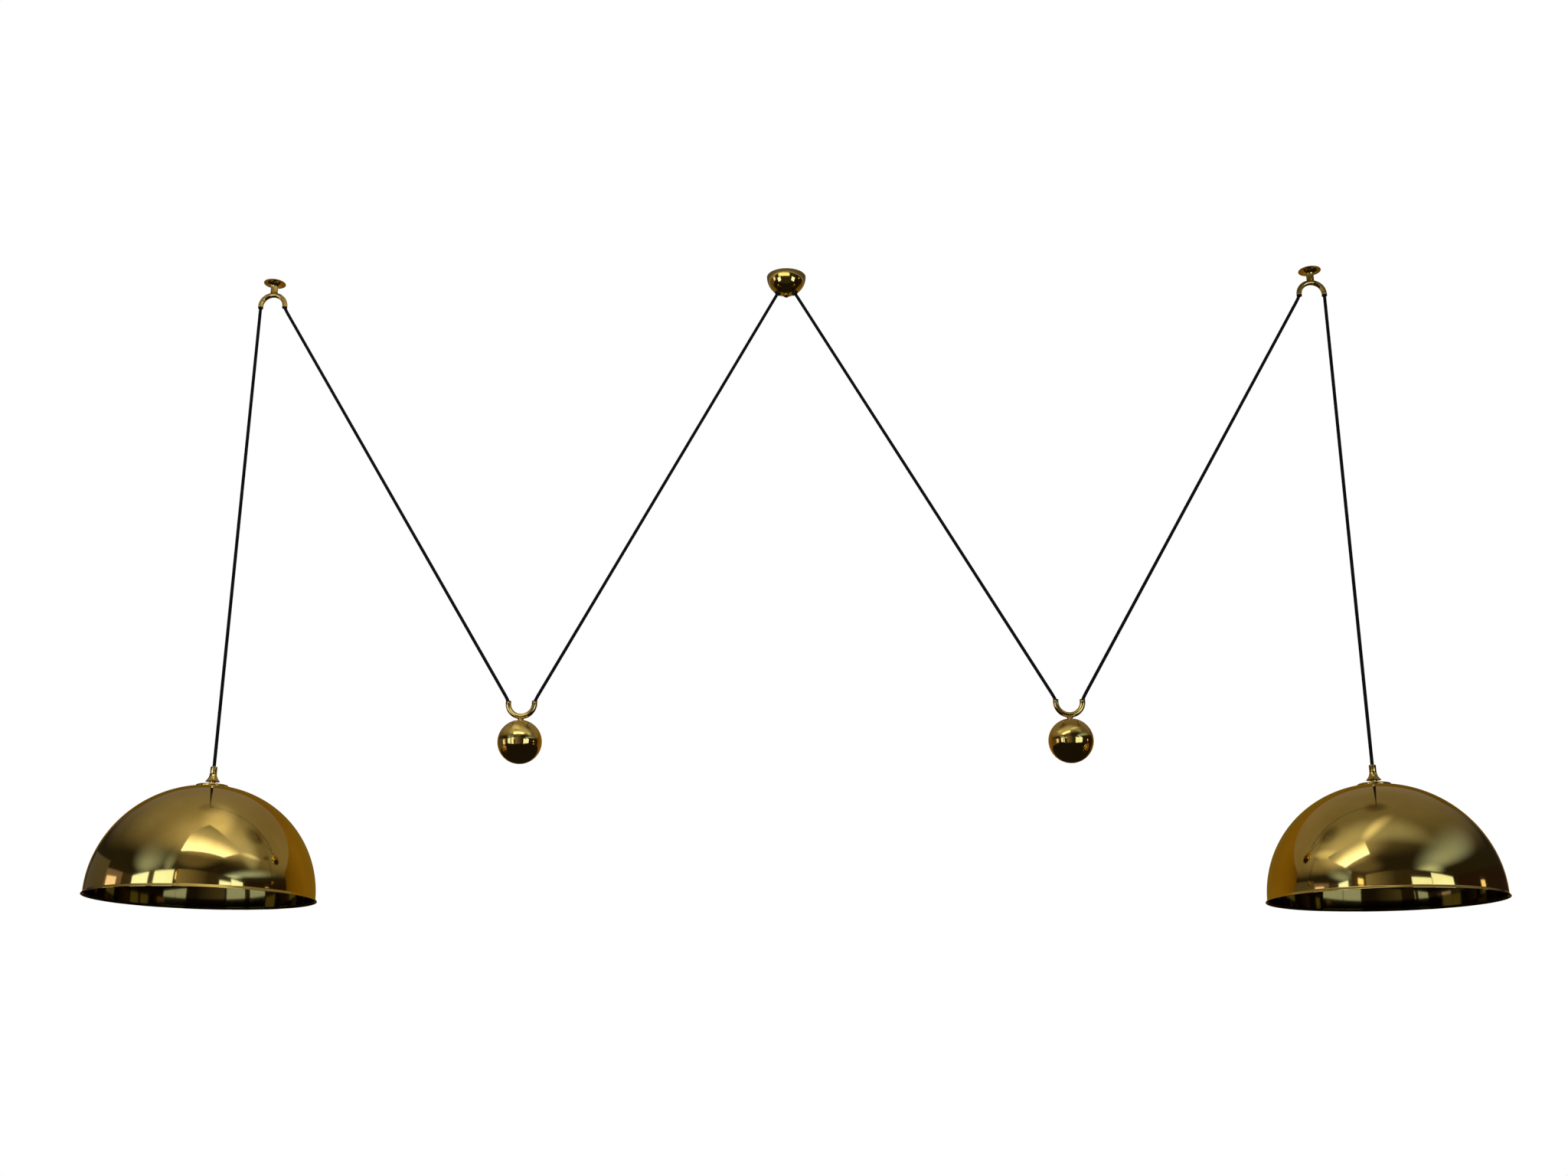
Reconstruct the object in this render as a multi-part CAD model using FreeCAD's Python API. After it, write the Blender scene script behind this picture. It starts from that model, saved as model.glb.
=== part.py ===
"""Double rise and fall pendant: a ceiling canopy, two ceiling hooks, two ball counterweights and
two dome shades on round cords. Millimetres, +Z up; the origin is the canopy's centre on the ceiling.
"""
import FreeCAD, Part
import math
import os

V = FreeCAD.Vector
UP = V(0, 0, 1)

# ---- driving dimensions: layout -------------------------------------------------------------
HOOK_SPAN = 2030.0        # between the two ceiling hooks
LEFT_BALL_X = 482.5       # where each counterweight hangs, out from the canopy
RIGHT_BALL_X = 510.9
BALL_Z = -925.0           # centre of both balls
RIM_Z = -1206.5           # rim plane of both shades

# ---- fits -----------------------------------------------------------------------------------
FIT = 0.1                 # radial clearance of a part screwed or pushed into another
SEAT = 0.05               # between two pieces clamped together on a curved face
CUT = 1.0                 # how far a cutting shape passes the material
CORD_FIT = 0.3            # radial clearance round the cord

# ---- cord -----------------------------------------------------------------------------------
CORD_D = 6.0
CORD_MOUTH_BEND = 10.0    # radius at which the tight cord turns over a tube's mouth
CORD_ENTRY = 3.2          # how far inside a mouth the free stretch begins
CORD_JOINT = 0.25         # left between two stretches, whose end faces are not quite parallel
LEAD_D = 1.8              # one insulated conductor
LEAD_OFFSET = 1.35        # from the cord's middle to each conductor
LEAD_START = 2.5          # straight stretch out of the cord
LEAD_RISE = 4.3           # straight stretch below the terminal

# ---- bent tubes of the hooks and counterweights ---------------------------------------------
TUBE_D = 10.0
TUBE_WALL = 0.8
TUBE_BEND = 24.0          # radius of the centreline
TUBE_STRAIGHT = 2.0       # straight stretch at each end
COLLAR_H = 2.5            # the bush's collar stands out past the tube's end
BUSH_LENGTH = 3.6         # inside the tube
BUSH_EDGE = 0.15          # wall left at the bush's flared mouth
BUSH_MOUTH_DEPTH = 2.4

# ---- canopy ---------------------------------------------------------------------------------
CANOPY_D = 76.0
CANOPY_WALL = 1.0
CANOPY_EXIT_X = 16.5      # where each cord leaves the cup
BRACKET_LENGTH = 62.0
BRACKET_WIDTH = 24.0
BRACKET_THICK = 2.0
BRACKET_HOLE_D = 4.5
BRACKET_HOLE_SPACING = 44.0
STUD_D = 6.0
STUD_SHOULDER_D = 11.0
STUD_SHOULDER_H = 1.5
STUD_GRIP = 4.0           # how far the stud reaches below the cup
CAP_NUT_D = 12.0
CAP_NUT_H = 5.7
CAP_NUT_SKIRT = 2.2
EXIT_FLANGE_D = 13.0
EXIT_FLANGE_H = 2.0
EXIT_SLEEVE_WALL = 0.9
EXIT_SLEEVE_LENGTH = 3.6
EXIT_BORE_REACH = 12.5    # how far the exit holes are cut, inward
STOP_D = 11.0
STOP_LENGTH = 7.0
CORD_END_DEPTH = 14.0     # cord inside the cup
BLOCK_LENGTH = 28.0
BLOCK_WIDTH = 12.0
BLOCK_HEIGHT = 14.0
BLOCK_STUD_GAP = 0.7      # from the block to the stud's shoulder
POLE_PITCH = 5.0
POLE_BORE_D = 2.4
POLE_DEPTH = 6.0
TERMINAL_SCREW_D = 3.0
TERMINAL_SCREW_LENGTH = 4.0

# ---- ceiling hook ---------------------------------------------------------------------------
ROSETTE_D = 42.0
ROSETTE_EDGE = 1.2        # height of the rosette's thin edge
ROSETTE_FACE = 4.0        # width of the ring that meets the ceiling
ROSETTE_NECK_D = 14.0
ROSETTE_NECK_TOP = 9.5    # below the ceiling
HOOK_DROP = 20.7          # from the ceiling to the top of the bent tube
ROSETTE_HOLLOW = 6.0      # depth of the hollow behind the rosette
ROSETTE_KNEE = (10.5, -4.2)  # a point of its flared side: radius, height
STEM_D = 10.0
STEM_SADDLE = 1.8         # how far the stem straddles the tube
CEILING_THREAD_D = 5.0    # minor diameter of the M6 thread
CEILING_THREAD_DEPTH = 14.0

# ---- counterweight --------------------------------------------------------------------------
BALL_D = 80.0
WAIST_H = 2.2             # from the ball to the bent tube
WAIST_D = 9.6
WAIST_LOW = 1.1           # height of the waist's thinnest place above the ball
WAIST_FOOT_D = 12.6
WAIST_HEAD_D = 11.6
SPIGOT_D = 8.0
SPIGOT_LENGTH = 16.0
SPIGOT_ROOM = 2.0         # the hole is this much deeper

# ---- shade ----------------------------------------------------------------------------------
DOME_R = 197.0            # outside
DOME_WALL = 0.6
LIP_STEP = 0.24           # by which the lip's inner crease sits lower than the outer one
LIP_D = 400.0
LIP_H = 4.5               # from the rim plane to the dome's widest circle
LIP_EDGE = 0.7            # upright edge at the very rim
TOP_DISC_D = 57.0
TOP_DISC_H = 1.4          # in the middle; its underside is dished to the dome
TOP_DISC_EDGE = 1.6       # radius of its rounded edge
GRIP_LIP_D = 26.0
GRIP_TOP_D = 12.2
GRIP_H = 27.0
GRIP_NECK_H = 9.0         # straight part below the rounded shoulder
GRIP_SHOULDER = 1.6
GRIP_GAP = 7.0            # from the top disc to the grip's lip
GRIP_FLARE = (7.9, 6.9)   # a point of its flared side: radius, height above the lip
GRIP_BELL_WALL = 0.9
GRIP_BELL_DEPTH = 6.0
GRIP_THREAD_DEPTH = 7.0
GRIP_SCREW_D = 3.0
GRIP_SCREW_DROP = 6.5     # below the grip's top
NIPPLE_D = 10.0
LOCK_NUT_FLATS = 14.0
LOCK_NUT_H = 3.0
NIPPLE_TAIL = 5.0         # below the lock nut

# ---- lampholder and bulb --------------------------------------------------------------------
HOLDER_D = 40.0
HOLDER_WALL = 1.6
HOLDER_CAP_H = 19.0
HOLDER_CAP_SKIRT = 8.0
HOLDER_CAP_BOSS = 3.0
HOLDER_CAP_KNEE = (17.7, 6.6)  # a point of its rounded shoulder: radius, height above the skirt
HOLDER_BODY_H = 38.0
HOLDER_BODY_BORE_D = 26.8
CONTACTS_H = 8.0
CONTACTS_BOSS_D = 13.3    # round middle of the contact block, over the bulb's tip
CONTACTS_BOSS_H = 2.4
BULB_BASE_D = 26.2
BULB_BASE_H = 22.0
BULB_BASE_GAP = 0.8       # from the contacts to the bulb's tip
BULB_TIP_H = 2.0
BULB_TIP_D = 10.0
BULB_RIBS = 5
BULB_D = 60.0
BULB_LENGTH = 78.0        # glass below the base
BULB_NECK_D = 25.0
BULB_NECK_SIDE = (14.75, 18.3)  # a point of the neck's curve: radius, depth below its top
BULB_SHOULDER = 38.0      # degrees above and below the globe's middle where its arcs meet
BULB_FOOT = 64.0
BULB_WALL = 0.8

# ---- worked out -----------------------------------------------------------------------------
CORD_R = CORD_D / 2
BORE_R = CORD_R + CORD_FIT
TUBE_R = TUBE_D / 2
CANOPY_R = CANOPY_D / 2
BLOCK_NEAR_Y = STUD_SHOULDER_D / 2 + BLOCK_STUD_GAP
HOOK_X = HOOK_SPAN / 2
HOOK_BEND_Z = -(HOOK_DROP + TUBE_R + TUBE_BEND)
MOUTH_REACH = TUBE_STRAIGHT + COLLAR_H
HOOK_MOUTH_Z = HOOK_BEND_Z - MOUTH_REACH
WEIGHT_BEND_Z = BALL_Z + BALL_D / 2 + WAIST_H + TUBE_R + TUBE_BEND
WEIGHT_MOUTH_Z = WEIGHT_BEND_Z + MOUTH_REACH
SHADE_X = HOOK_X + TUBE_BEND
CROWN_Z = RIM_Z + LIP_H + DOME_R
DISC_Z = CROWN_Z + SEAT
GRIP_Z = DISC_Z + TOP_DISC_H + GRIP_GAP
GRIP_TOP_Z = GRIP_Z + GRIP_H
NIPPLE_TOP_Z = GRIP_Z + GRIP_BELL_DEPTH + GRIP_THREAD_DEPTH - FIT
CROWN_INSIDE_Z = CROWN_Z - DOME_WALL
LOCK_NUT_Z = CROWN_INSIDE_Z - SEAT - LOCK_NUT_H
HOLDER_TOP_Z = LOCK_NUT_Z - SEAT
HOLDER_JOINT_Z = HOLDER_TOP_Z - HOLDER_CAP_H
CORD_END_Z = HOLDER_TOP_Z - NIPPLE_TAIL
SIDES = {"left": (-1, LEFT_BALL_X), "right": (1, RIGHT_BALL_X)}


def save(name, *solids):
    """Write one node's solids to its own file."""
    shape = solids[0] if len(solids) == 1 else Part.makeCompound(list(solids))
    shape.exportStep(os.path.join("parts", name + ".step"))


def turned(start, *moves, at=(0, 0)):
    """Turn a profile of (radius, height) points about a vertical axis that stands at (x, y).

    A move is the next point, or a pair (through, end) for an arc; the profile closes by itself."""
    edges = []
    here = V(start[0], 0, start[1])
    for move in moves + (start,):
        if isinstance(move[0], tuple):
            through, end = (V(r, 0, z) for r, z in move)
            edges.append(Part.Arc(here, through, end).toShape())
            here = end
        else:
            end = V(move[0], 0, move[1])
            if (end - here).Length > 1e-6:
                edges.append(Part.makeLine(here, end))
            here = end
    face = Part.Face(Part.Wire(edges))
    solid = face.revolve(V(0, 0, 0), UP, 360)
    solid.translate(V(at[0], at[1], 0))
    return solid


def domed(radius, edge_z, tip_z):
    """A turned profile's arc from its edge to its tip on the axis, part of one ball."""
    height = edge_z - tip_z
    ball_r = (radius ** 2 + height ** 2) / (2 * height)
    half = math.atan2(radius, ball_r - height) / 2
    return ((ball_r * math.sin(half), tip_z + ball_r * (1 - math.cos(half))), (0, tip_z))


def rod(radius, start, end):
    """A round rod between two points."""
    return Part.makeCylinder(radius, (end - start).Length, start, end - start)


def ring(outer, inner, start, end):
    """A round sleeve between two points."""
    return rod(outer, start, end).cut(rod(inner, start, end))


def route(points, radii):
    """Straight runs joined by tangent arcs: one arc, of the radius given, at each inner point."""
    edges = []
    here = points[0]
    for before, corner, after, radius in zip(points, points[1:], points[2:], radii):
        arrive = (corner - before).normalize()
        leave = (after - corner).normalize()
        reach = radius * math.tan(arrive.getAngle(leave) / 2)
        start = corner - arrive * reach
        end = corner + leave * reach
        centre_way = (leave - arrive).normalize()
        depth = math.hypot(reach, radius) - radius
        edges.append(Part.makeLine(here, start))
        edges.append(Part.Arc(start, corner + centre_way * depth, end).toShape())
        here = end
    edges.append(Part.makeLine(here, points[-1]))
    return edges


def eased_radii(points, share=0.45):
    """The largest arc that each inner point's two runs allow."""
    radii = []
    for before, corner, after in zip(points, points[1:], points[2:]):
        half_turn = (corner - before).getAngle(after - corner) / 2
        shorter = min((corner - before).Length, (after - corner).Length)
        radii.append(share * shorter / math.tan(half_turn))
    return radii


def swept(edges, radius):
    """A round bar that follows the edges."""
    path = Part.Wire(edges)
    start = edges[0].valueAt(edges[0].FirstParameter)
    along = edges[0].tangentAt(edges[0].FirstParameter)
    circle = Part.Wire([Part.makeCircle(radius, start, along)])
    return path.makePipeShell([circle], True, True)


def cord(name, edges, radii=()):
    """A stretch of cord, with its length, its radii and its volume against section times length."""
    solid = swept(edges, CORD_R)
    length = sum(e.Length for e in edges)
    share = solid.Volume / (math.pi * CORD_R ** 2 * length)
    print(f"{name}: {length:.1f} mm, volume share {share:.4f}, radii {[round(r, 1) for r in radii]}")
    save(name, solid)


def bend(x, z, way, tails):
    """The edges of a half circle between two upright arms; way is +1 for an arch and -1 for a U.

    Each end runs on straight by its tail, or stops short of the half circle where that is negative."""
    ends = []
    for arm, tail in zip((-1, 1), tails):
        short = math.asin(max(-tail, 0) / TUBE_BEND)
        ends.append(V(x + arm * TUBE_BEND * math.cos(short), 0, z + way * TUBE_BEND * math.sin(short)))
    edges = [Part.Arc(ends[0], V(x, 0, z + way * TUBE_BEND), ends[1]).toShape()]
    if tails[0] > 0:
        edges.insert(0, Part.makeLine(ends[0] - UP * way * tails[0], ends[0]))
    if tails[1] > 0:
        edges.append(Part.makeLine(ends[1], ends[1] - UP * way * tails[1]))
    return edges


def bent_tube(name, x, z, way):
    """The brass tube of a hook or counterweight; returns its outside for what saddles it."""
    edges = bend(x, z, way, (TUBE_STRAIGHT, TUBE_STRAIGHT))
    outside = swept(edges, TUBE_R)
    save(name, outside.cut(swept(edges, TUBE_R - TUBE_WALL)))
    return swept(edges, TUBE_R + SEAT)


def mouth_bushes(name, x, mouth_z, way):
    """Two sleeves that line a bent tube's mouths, with a collar outside each, flared for the cord."""
    outer = TUBE_R - TUBE_WALL - FIT
    solids = []
    for arm in (-TUBE_BEND, TUBE_BEND):
        mouth = V(x + arm, 0, mouth_z)
        tube_end = mouth + UP * (way * COLLAR_H)
        collar = rod(TUBE_R, mouth, tube_end - UP * (way * SEAT))
        body = collar.fuse(rod(outer, mouth, tube_end + UP * (way * BUSH_LENGTH)))
        body = body.cut(rod(BORE_R, mouth - UP * (way * CUT), tube_end + UP * (way * (BUSH_LENGTH + CUT))))
        cone = Part.makeCone(outer - BUSH_EDGE, BORE_R, BUSH_MOUTH_DEPTH, mouth, UP * way)
        solids.append(body.cut(cone))
    save(name, *solids)


def canopy():
    """The cup, its bracket and stud, and where both cords end."""
    strap_z = -BRACKET_THICK
    strap = Part.makeBox(BRACKET_LENGTH, BRACKET_WIDTH, BRACKET_THICK,
                         V(-BRACKET_LENGTH / 2, -BRACKET_WIDTH / 2, strap_z))
    for x, d in ((-BRACKET_HOLE_SPACING / 2, BRACKET_HOLE_D), (BRACKET_HOLE_SPACING / 2, BRACKET_HOLE_D),
                 (0, STUD_D + 2 * FIT)):
        strap = strap.cut(rod(d / 2, V(x, 0, strap_z - CUT), V(x, 0, CUT)))
    save("ceiling_bracket", strap)

    stud_end = -CANOPY_R - STUD_GRIP
    shoulder = rod(STUD_SHOULDER_D / 2, V(0, 0, strap_z - STUD_SHOULDER_H), V(0, 0, strap_z))
    save("canopy_stud", rod(STUD_D / 2, V(0, 0, stud_end), V(0, 0, -FIT)).fuse(shoulder))

    hole_r = STUD_D / 2 + FIT
    nut_top = -CANOPY_R - SEAT
    nut_r = CAP_NUT_D / 2
    skirt_z = nut_top - CAP_NUT_SKIRT
    foot_z = nut_top - CAP_NUT_H
    save("canopy_cap_nut", turned(
        (hole_r, nut_top), (nut_r, nut_top), (nut_r, skirt_z), domed(nut_r, skirt_z, foot_z),
        (0, stud_end - FIT), (hole_r, stud_end - FIT)))

    cup = Part.makeSphere(CANOPY_R).cut(Part.makeSphere(CANOPY_R - CANOPY_WALL))
    cup = cup.common(Part.makeBox(CANOPY_D, CANOPY_D, CANOPY_R, V(-CANOPY_R, -CANOPY_R, -CANOPY_R)))
    cup = cup.cut(rod(hole_r, V(0, 0, -CANOPY_D), V(0, 0, 0)))
    sleeve_r = BORE_R + EXIT_SLEEVE_WALL
    bushes, stops, ends, leads = [], [], [], []
    for side, ball_x in SIDES.values():
        mouth, way = canopy_exit(side, ball_x)
        cup = cup.cut(rod(sleeve_r + FIT, mouth - way * EXIT_BORE_REACH, mouth + way * (EXIT_FLANGE_H + CUT)))
        flange = rod(EXIT_FLANGE_D / 2, mouth - way * EXIT_FLANGE_H, mouth + way * EXIT_FLANGE_H)
        flange = flange.cut(Part.makeSphere(CANOPY_R + SEAT))
        sleeve = rod(sleeve_r, mouth - way * EXIT_SLEEVE_LENGTH, mouth + way * EXIT_FLANGE_H)
        bore = rod(BORE_R, mouth - way * EXIT_BORE_REACH, mouth + way * (EXIT_FLANGE_H + CUT))
        bushes.append(flange.fuse(sleeve).cut(bore))
        stop_start = mouth - way * (EXIT_SLEEVE_LENGTH + SEAT)
        stops.append(ring(STOP_D / 2, CORD_R + SEAT, stop_start - way * STOP_LENGTH, stop_start))
        ends.append(rod(CORD_R, mouth - way * CORD_END_DEPTH, mouth))
        leads += cord_leads(side, mouth - way * CORD_END_DEPTH, way)
    save("canopy_cup", cup)
    save("canopy_cord_bushes", *bushes)
    save("canopy_cord_stops", *stops)
    save("canopy_cord_ends", *ends)
    save("canopy_leads", *leads)
    terminal_block(strap_z)


def canopy_exit(side, ball_x):
    """Where a cord leaves the cup, and its straight way to the counterweight's inner mouth."""
    mouth = V(side * CANOPY_EXIT_X, 0, -math.sqrt(CANOPY_R ** 2 - CANOPY_EXIT_X ** 2))
    target = V(side * (ball_x - TUBE_BEND), 0, WEIGHT_MOUTH_Z)
    return mouth, (target - mouth).normalize()


def pole_x(side, n):
    """The poles of one side's cord: n is 0 or 1."""
    return side * POLE_PITCH * (1 + n)


def cord_leads(side, end, way):
    """Two conductors from a cord's end up into the terminal block."""
    block_bottom = -BRACKET_THICK - BLOCK_HEIGHT
    pole_y = BLOCK_NEAR_Y + BLOCK_WIDTH / 2
    solids = []
    for n, y in ((0, LEAD_OFFSET), (1, -LEAD_OFFSET)):
        start = end + V(0, y, 0)
        points = [start, start - way * LEAD_START,
                  V(pole_x(side, n), pole_y, block_bottom - LEAD_RISE),
                  V(pole_x(side, n), pole_y, block_bottom + POLE_DEPTH - FIT)]
        solids.append(swept(route(points, eased_radii(points)), LEAD_D / 2))
    return solids


def terminal_block(top_z):
    """The block hangs under the bracket, beside the stud; its poles open downwards."""
    bottom = top_z - BLOCK_HEIGHT
    middle_y = BLOCK_NEAR_Y + BLOCK_WIDTH / 2
    block = Part.makeBox(BLOCK_LENGTH, BLOCK_WIDTH, BLOCK_HEIGHT,
                         V(-BLOCK_LENGTH / 2, BLOCK_NEAR_Y, bottom))
    screws = []
    for side in (-1, 1):
        for n in (0, 1):
            x = pole_x(side, n)
            block = block.cut(rod(POLE_BORE_D / 2, V(x, middle_y, bottom - CUT),
                                  V(x, middle_y, bottom + POLE_DEPTH)))
            screw_z = bottom + POLE_DEPTH + TERMINAL_SCREW_D
            face = V(x, BLOCK_NEAR_Y + BLOCK_WIDTH, screw_z)
            inner = face - V(0, TERMINAL_SCREW_LENGTH, 0)
            block = block.cut(rod(TERMINAL_SCREW_D / 2 + FIT, inner - V(0, FIT, 0), face + V(0, CUT, 0)))
            screws.append(rod(TERMINAL_SCREW_D / 2, inner, face - V(0, FIT, 0)))
    save("terminal_block", block)
    save("terminal_screws", *screws)


def ceiling_hook(name, side):
    """The rosette, its threaded core and the bent tube that the cord runs over."""
    x = side * HOOK_X
    neck_r = ROSETTE_NECK_D / 2
    edge_r = ROSETTE_D / 2
    face_r = edge_r - ROSETTE_FACE
    bore_r = STEM_D / 2 + FIT
    neck_z = -ROSETTE_NECK_TOP
    foot_z = -HOOK_DROP + SEAT
    saddle = bent_tube(name + "_hook_tube", x, HOOK_BEND_Z, 1)
    rosette = turned((face_r, 0), (edge_r, 0), (edge_r, -ROSETTE_EDGE), (ROSETTE_KNEE, (neck_r, neck_z)),
                     (neck_r, foot_z), (bore_r, foot_z), (bore_r, -ROSETTE_HOLLOW), at=(x, 0))
    save(name + "_hook_rosette", rosette.cut(saddle))
    stem = rod(STEM_D / 2, V(x, 0, -HOOK_DROP - STEM_SADDLE), V(x, 0, 0)).cut(saddle)
    thread = rod(CEILING_THREAD_D / 2, V(x, 0, -CEILING_THREAD_DEPTH), V(x, 0, CUT))
    save(name + "_hook_stem", stem.cut(thread))
    mouth_bushes(name + "_hook_bushes", x, HOOK_MOUTH_Z, 1)


def hook_cord(name, side):
    """The cord inside a hook's tube: the slanted stretch begins inside one mouth, the drop at the other."""
    tails = (MOUTH_REACH, MOUTH_REACH - CORD_ENTRY - CORD_JOINT)
    cord(name + "_hook_cord", bend(side * HOOK_X, HOOK_BEND_Z, 1, tails[::-side]))


def counterweight(name, side, ball_x):
    """A solid ball under a U of tube, joined by a turned waist with a spigot."""
    x = side * ball_x
    ball_top = BALL_Z + BALL_D / 2
    spigot_end = ball_top - SPIGOT_LENGTH
    ball = Part.makeSphere(BALL_D / 2, V(x, 0, BALL_Z))
    hole = rod(SPIGOT_D / 2 + FIT, V(x, 0, spigot_end - SPIGOT_ROOM), V(x, 0, ball_top + CUT))
    save(name + "_weight_ball", ball.cut(hole))
    saddle = bent_tube(name + "_weight_tube", x, WEIGHT_BEND_Z, -1)
    waist_z = ball_top + WAIST_LOW
    head_z = ball_top + WAIST_H + STEM_SADDLE
    stud = turned((0, spigot_end), (SPIGOT_D / 2, spigot_end), (SPIGOT_D / 2, ball_top + SEAT),
                  (WAIST_FOOT_D / 2, ball_top + SEAT),
                  ((WAIST_D / 2, waist_z), (WAIST_HEAD_D / 2, ball_top + WAIST_H)),
                  (WAIST_HEAD_D / 2, head_z), (0, head_z), at=(x, 0))
    stud = stud.cut(saddle)
    save(name + "_weight_stud", max(stud.Solids, key=lambda s: s.Volume))
    mouth_bushes(name + "_weight_bushes", x, WEIGHT_MOUTH_Z, -1)


def weight_cord(name, side, ball_x):
    """The cord inside a counterweight's tube, between the ends of the two slanted stretches."""
    tail = MOUTH_REACH - CORD_ENTRY - CORD_JOINT
    cord(name + "_weight_cord", bend(side * ball_x, WEIGHT_BEND_Z, -1, (tail, tail)))


def free_cords(name, side, ball_x):
    """The three stretches that hang free: canopy to weight, weight to hook, hook to shade."""
    mouth, _ = canopy_exit(side, ball_x)
    near_arm = side * (ball_x - TUBE_BEND)
    far_arm = side * (ball_x + TUBE_BEND)
    hook_arm = side * (HOOK_X - TUBE_BEND)
    into_weight = UP * -CORD_ENTRY
    into_hook = UP * CORD_ENTRY
    weight_near, weight_far = V(near_arm, 0, WEIGHT_MOUTH_Z), V(far_arm, 0, WEIGHT_MOUTH_Z)
    hook_near = V(hook_arm, 0, HOOK_MOUTH_Z)
    inner = [mouth, weight_near, weight_near + into_weight]
    outer = [weight_far + into_weight, weight_far, hook_near, hook_near + into_hook]
    for label, points in (("inner", inner), ("outer", outer)):
        radii = [CORD_MOUTH_BEND] * (len(points) - 2)
        cord(f"{name}_{label}_cord", route(points, radii), radii)
    top, bottom = V(side * SHADE_X, 0, HOOK_MOUTH_Z), V(side * SHADE_X, 0, GRIP_TOP_Z)
    cord(name + "_drop_cord", [Part.makeLine(top, bottom)])


def shade(name, side):
    """The dome, with its disc, cord grip, nipple and nut."""
    x = side * SHADE_X
    axis = (x, 0)
    nipple_hole = NIPPLE_D / 2 + FIT
    centre_z = RIM_Z + LIP_H
    inside_r = DOME_R - DOME_WALL
    lip_r = LIP_D / 2
    diagonal = math.radians(50)

    def on_arc(r):
        return (r * math.cos(diagonal), centre_z + r * math.sin(diagonal))

    def crown(r):
        return (nipple_hole, centre_z + math.sqrt(r ** 2 - nipple_hole ** 2))

    save(name + "_shade_dome", turned(
        crown(DOME_R), (on_arc(DOME_R), (DOME_R, centre_z)), (lip_r, RIM_Z + LIP_EDGE), (lip_r, RIM_Z),
        (lip_r - DOME_WALL, RIM_Z), (lip_r - DOME_WALL, RIM_Z + LIP_EDGE - LIP_STEP),
        (inside_r, centre_z - LIP_STEP), (inside_r, centre_z),
        (on_arc(inside_r), crown(inside_r)), at=axis))
    disc_top = DISC_Z + TOP_DISC_H
    disc_r = TOP_DISC_D / 2

    def on_dome(r):
        return (r, centre_z + math.sqrt((DOME_R + SEAT) ** 2 - r ** 2))

    rounding = TOP_DISC_EDGE * (1 - math.sqrt(0.5))
    save(name + "_shade_top_disc", turned(
        on_dome(nipple_hole), (on_dome(disc_r / 2), on_dome(disc_r)), (disc_r, disc_top - TOP_DISC_EDGE),
        ((disc_r - rounding, disc_top - rounding), (disc_r - TOP_DISC_EDGE, disc_top)),
        (nipple_hole, disc_top), at=axis))

    screw_z = GRIP_TOP_Z - GRIP_SCREW_DROP
    top_r = GRIP_TOP_D / 2
    lip_grip = GRIP_LIP_D / 2
    neck_z = GRIP_TOP_Z - GRIP_SHOULDER - GRIP_NECK_H
    bell_z = GRIP_Z + GRIP_BELL_DEPTH
    thread_top = bell_z + GRIP_THREAD_DEPTH
    flare = (GRIP_FLARE[0], GRIP_Z + GRIP_FLARE[1])
    inset = GRIP_SHOULDER * (1 - math.sqrt(0.5))
    shoulder = (top_r - inset, GRIP_TOP_Z - inset)
    grip = turned(
        (BORE_R, GRIP_TOP_Z), (top_r - GRIP_SHOULDER, GRIP_TOP_Z),
        (shoulder, (top_r, GRIP_TOP_Z - GRIP_SHOULDER)), (top_r, neck_z), (flare, (lip_grip, GRIP_Z)),
        (lip_grip - GRIP_BELL_WALL, GRIP_Z), (nipple_hole + GRIP_BELL_WALL, bell_z), (nipple_hole, bell_z),
        (nipple_hole, thread_top), (BORE_R, thread_top), at=axis)
    screw_in = V(x, CORD_R + SEAT, screw_z)
    screw_out = V(x, top_r - FIT, screw_z)
    grip = grip.cut(rod(GRIP_SCREW_D / 2 + FIT, screw_in, screw_out + V(0, CUT, 0)))
    save(name + "_cord_grip", grip)
    save(name + "_grip_screw", rod(GRIP_SCREW_D / 2, screw_in, screw_out))

    nipple = ring(NIPPLE_D / 2, BORE_R, V(x, 0, CORD_END_Z), V(x, 0, NIPPLE_TOP_Z))
    save(name + "_shade_nipple", nipple)
    corner_r = LOCK_NUT_FLATS / 2 / math.cos(math.radians(30))
    corners = [V(x + corner_r * math.cos(math.radians(60 * n)), corner_r * math.sin(math.radians(60 * n)),
                 LOCK_NUT_Z) for n in range(7)]
    nut = Part.Face(Part.makePolygon(corners)).extrude(UP * LOCK_NUT_H)
    nut = nut.cut(rod(nipple_hole, V(x, 0, LOCK_NUT_Z - CUT), V(x, 0, LOCK_NUT_Z + LOCK_NUT_H + CUT)))
    crown_inside = Part.makeSphere(inside_r - SEAT, V(x, 0, centre_z))
    save(name + "_shade_lock_nut", nut.common(crown_inside))
    cord(name + "_shade_cord_end", [Part.makeLine(V(x, 0, GRIP_TOP_Z), V(x, 0, CORD_END_Z))])


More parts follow.
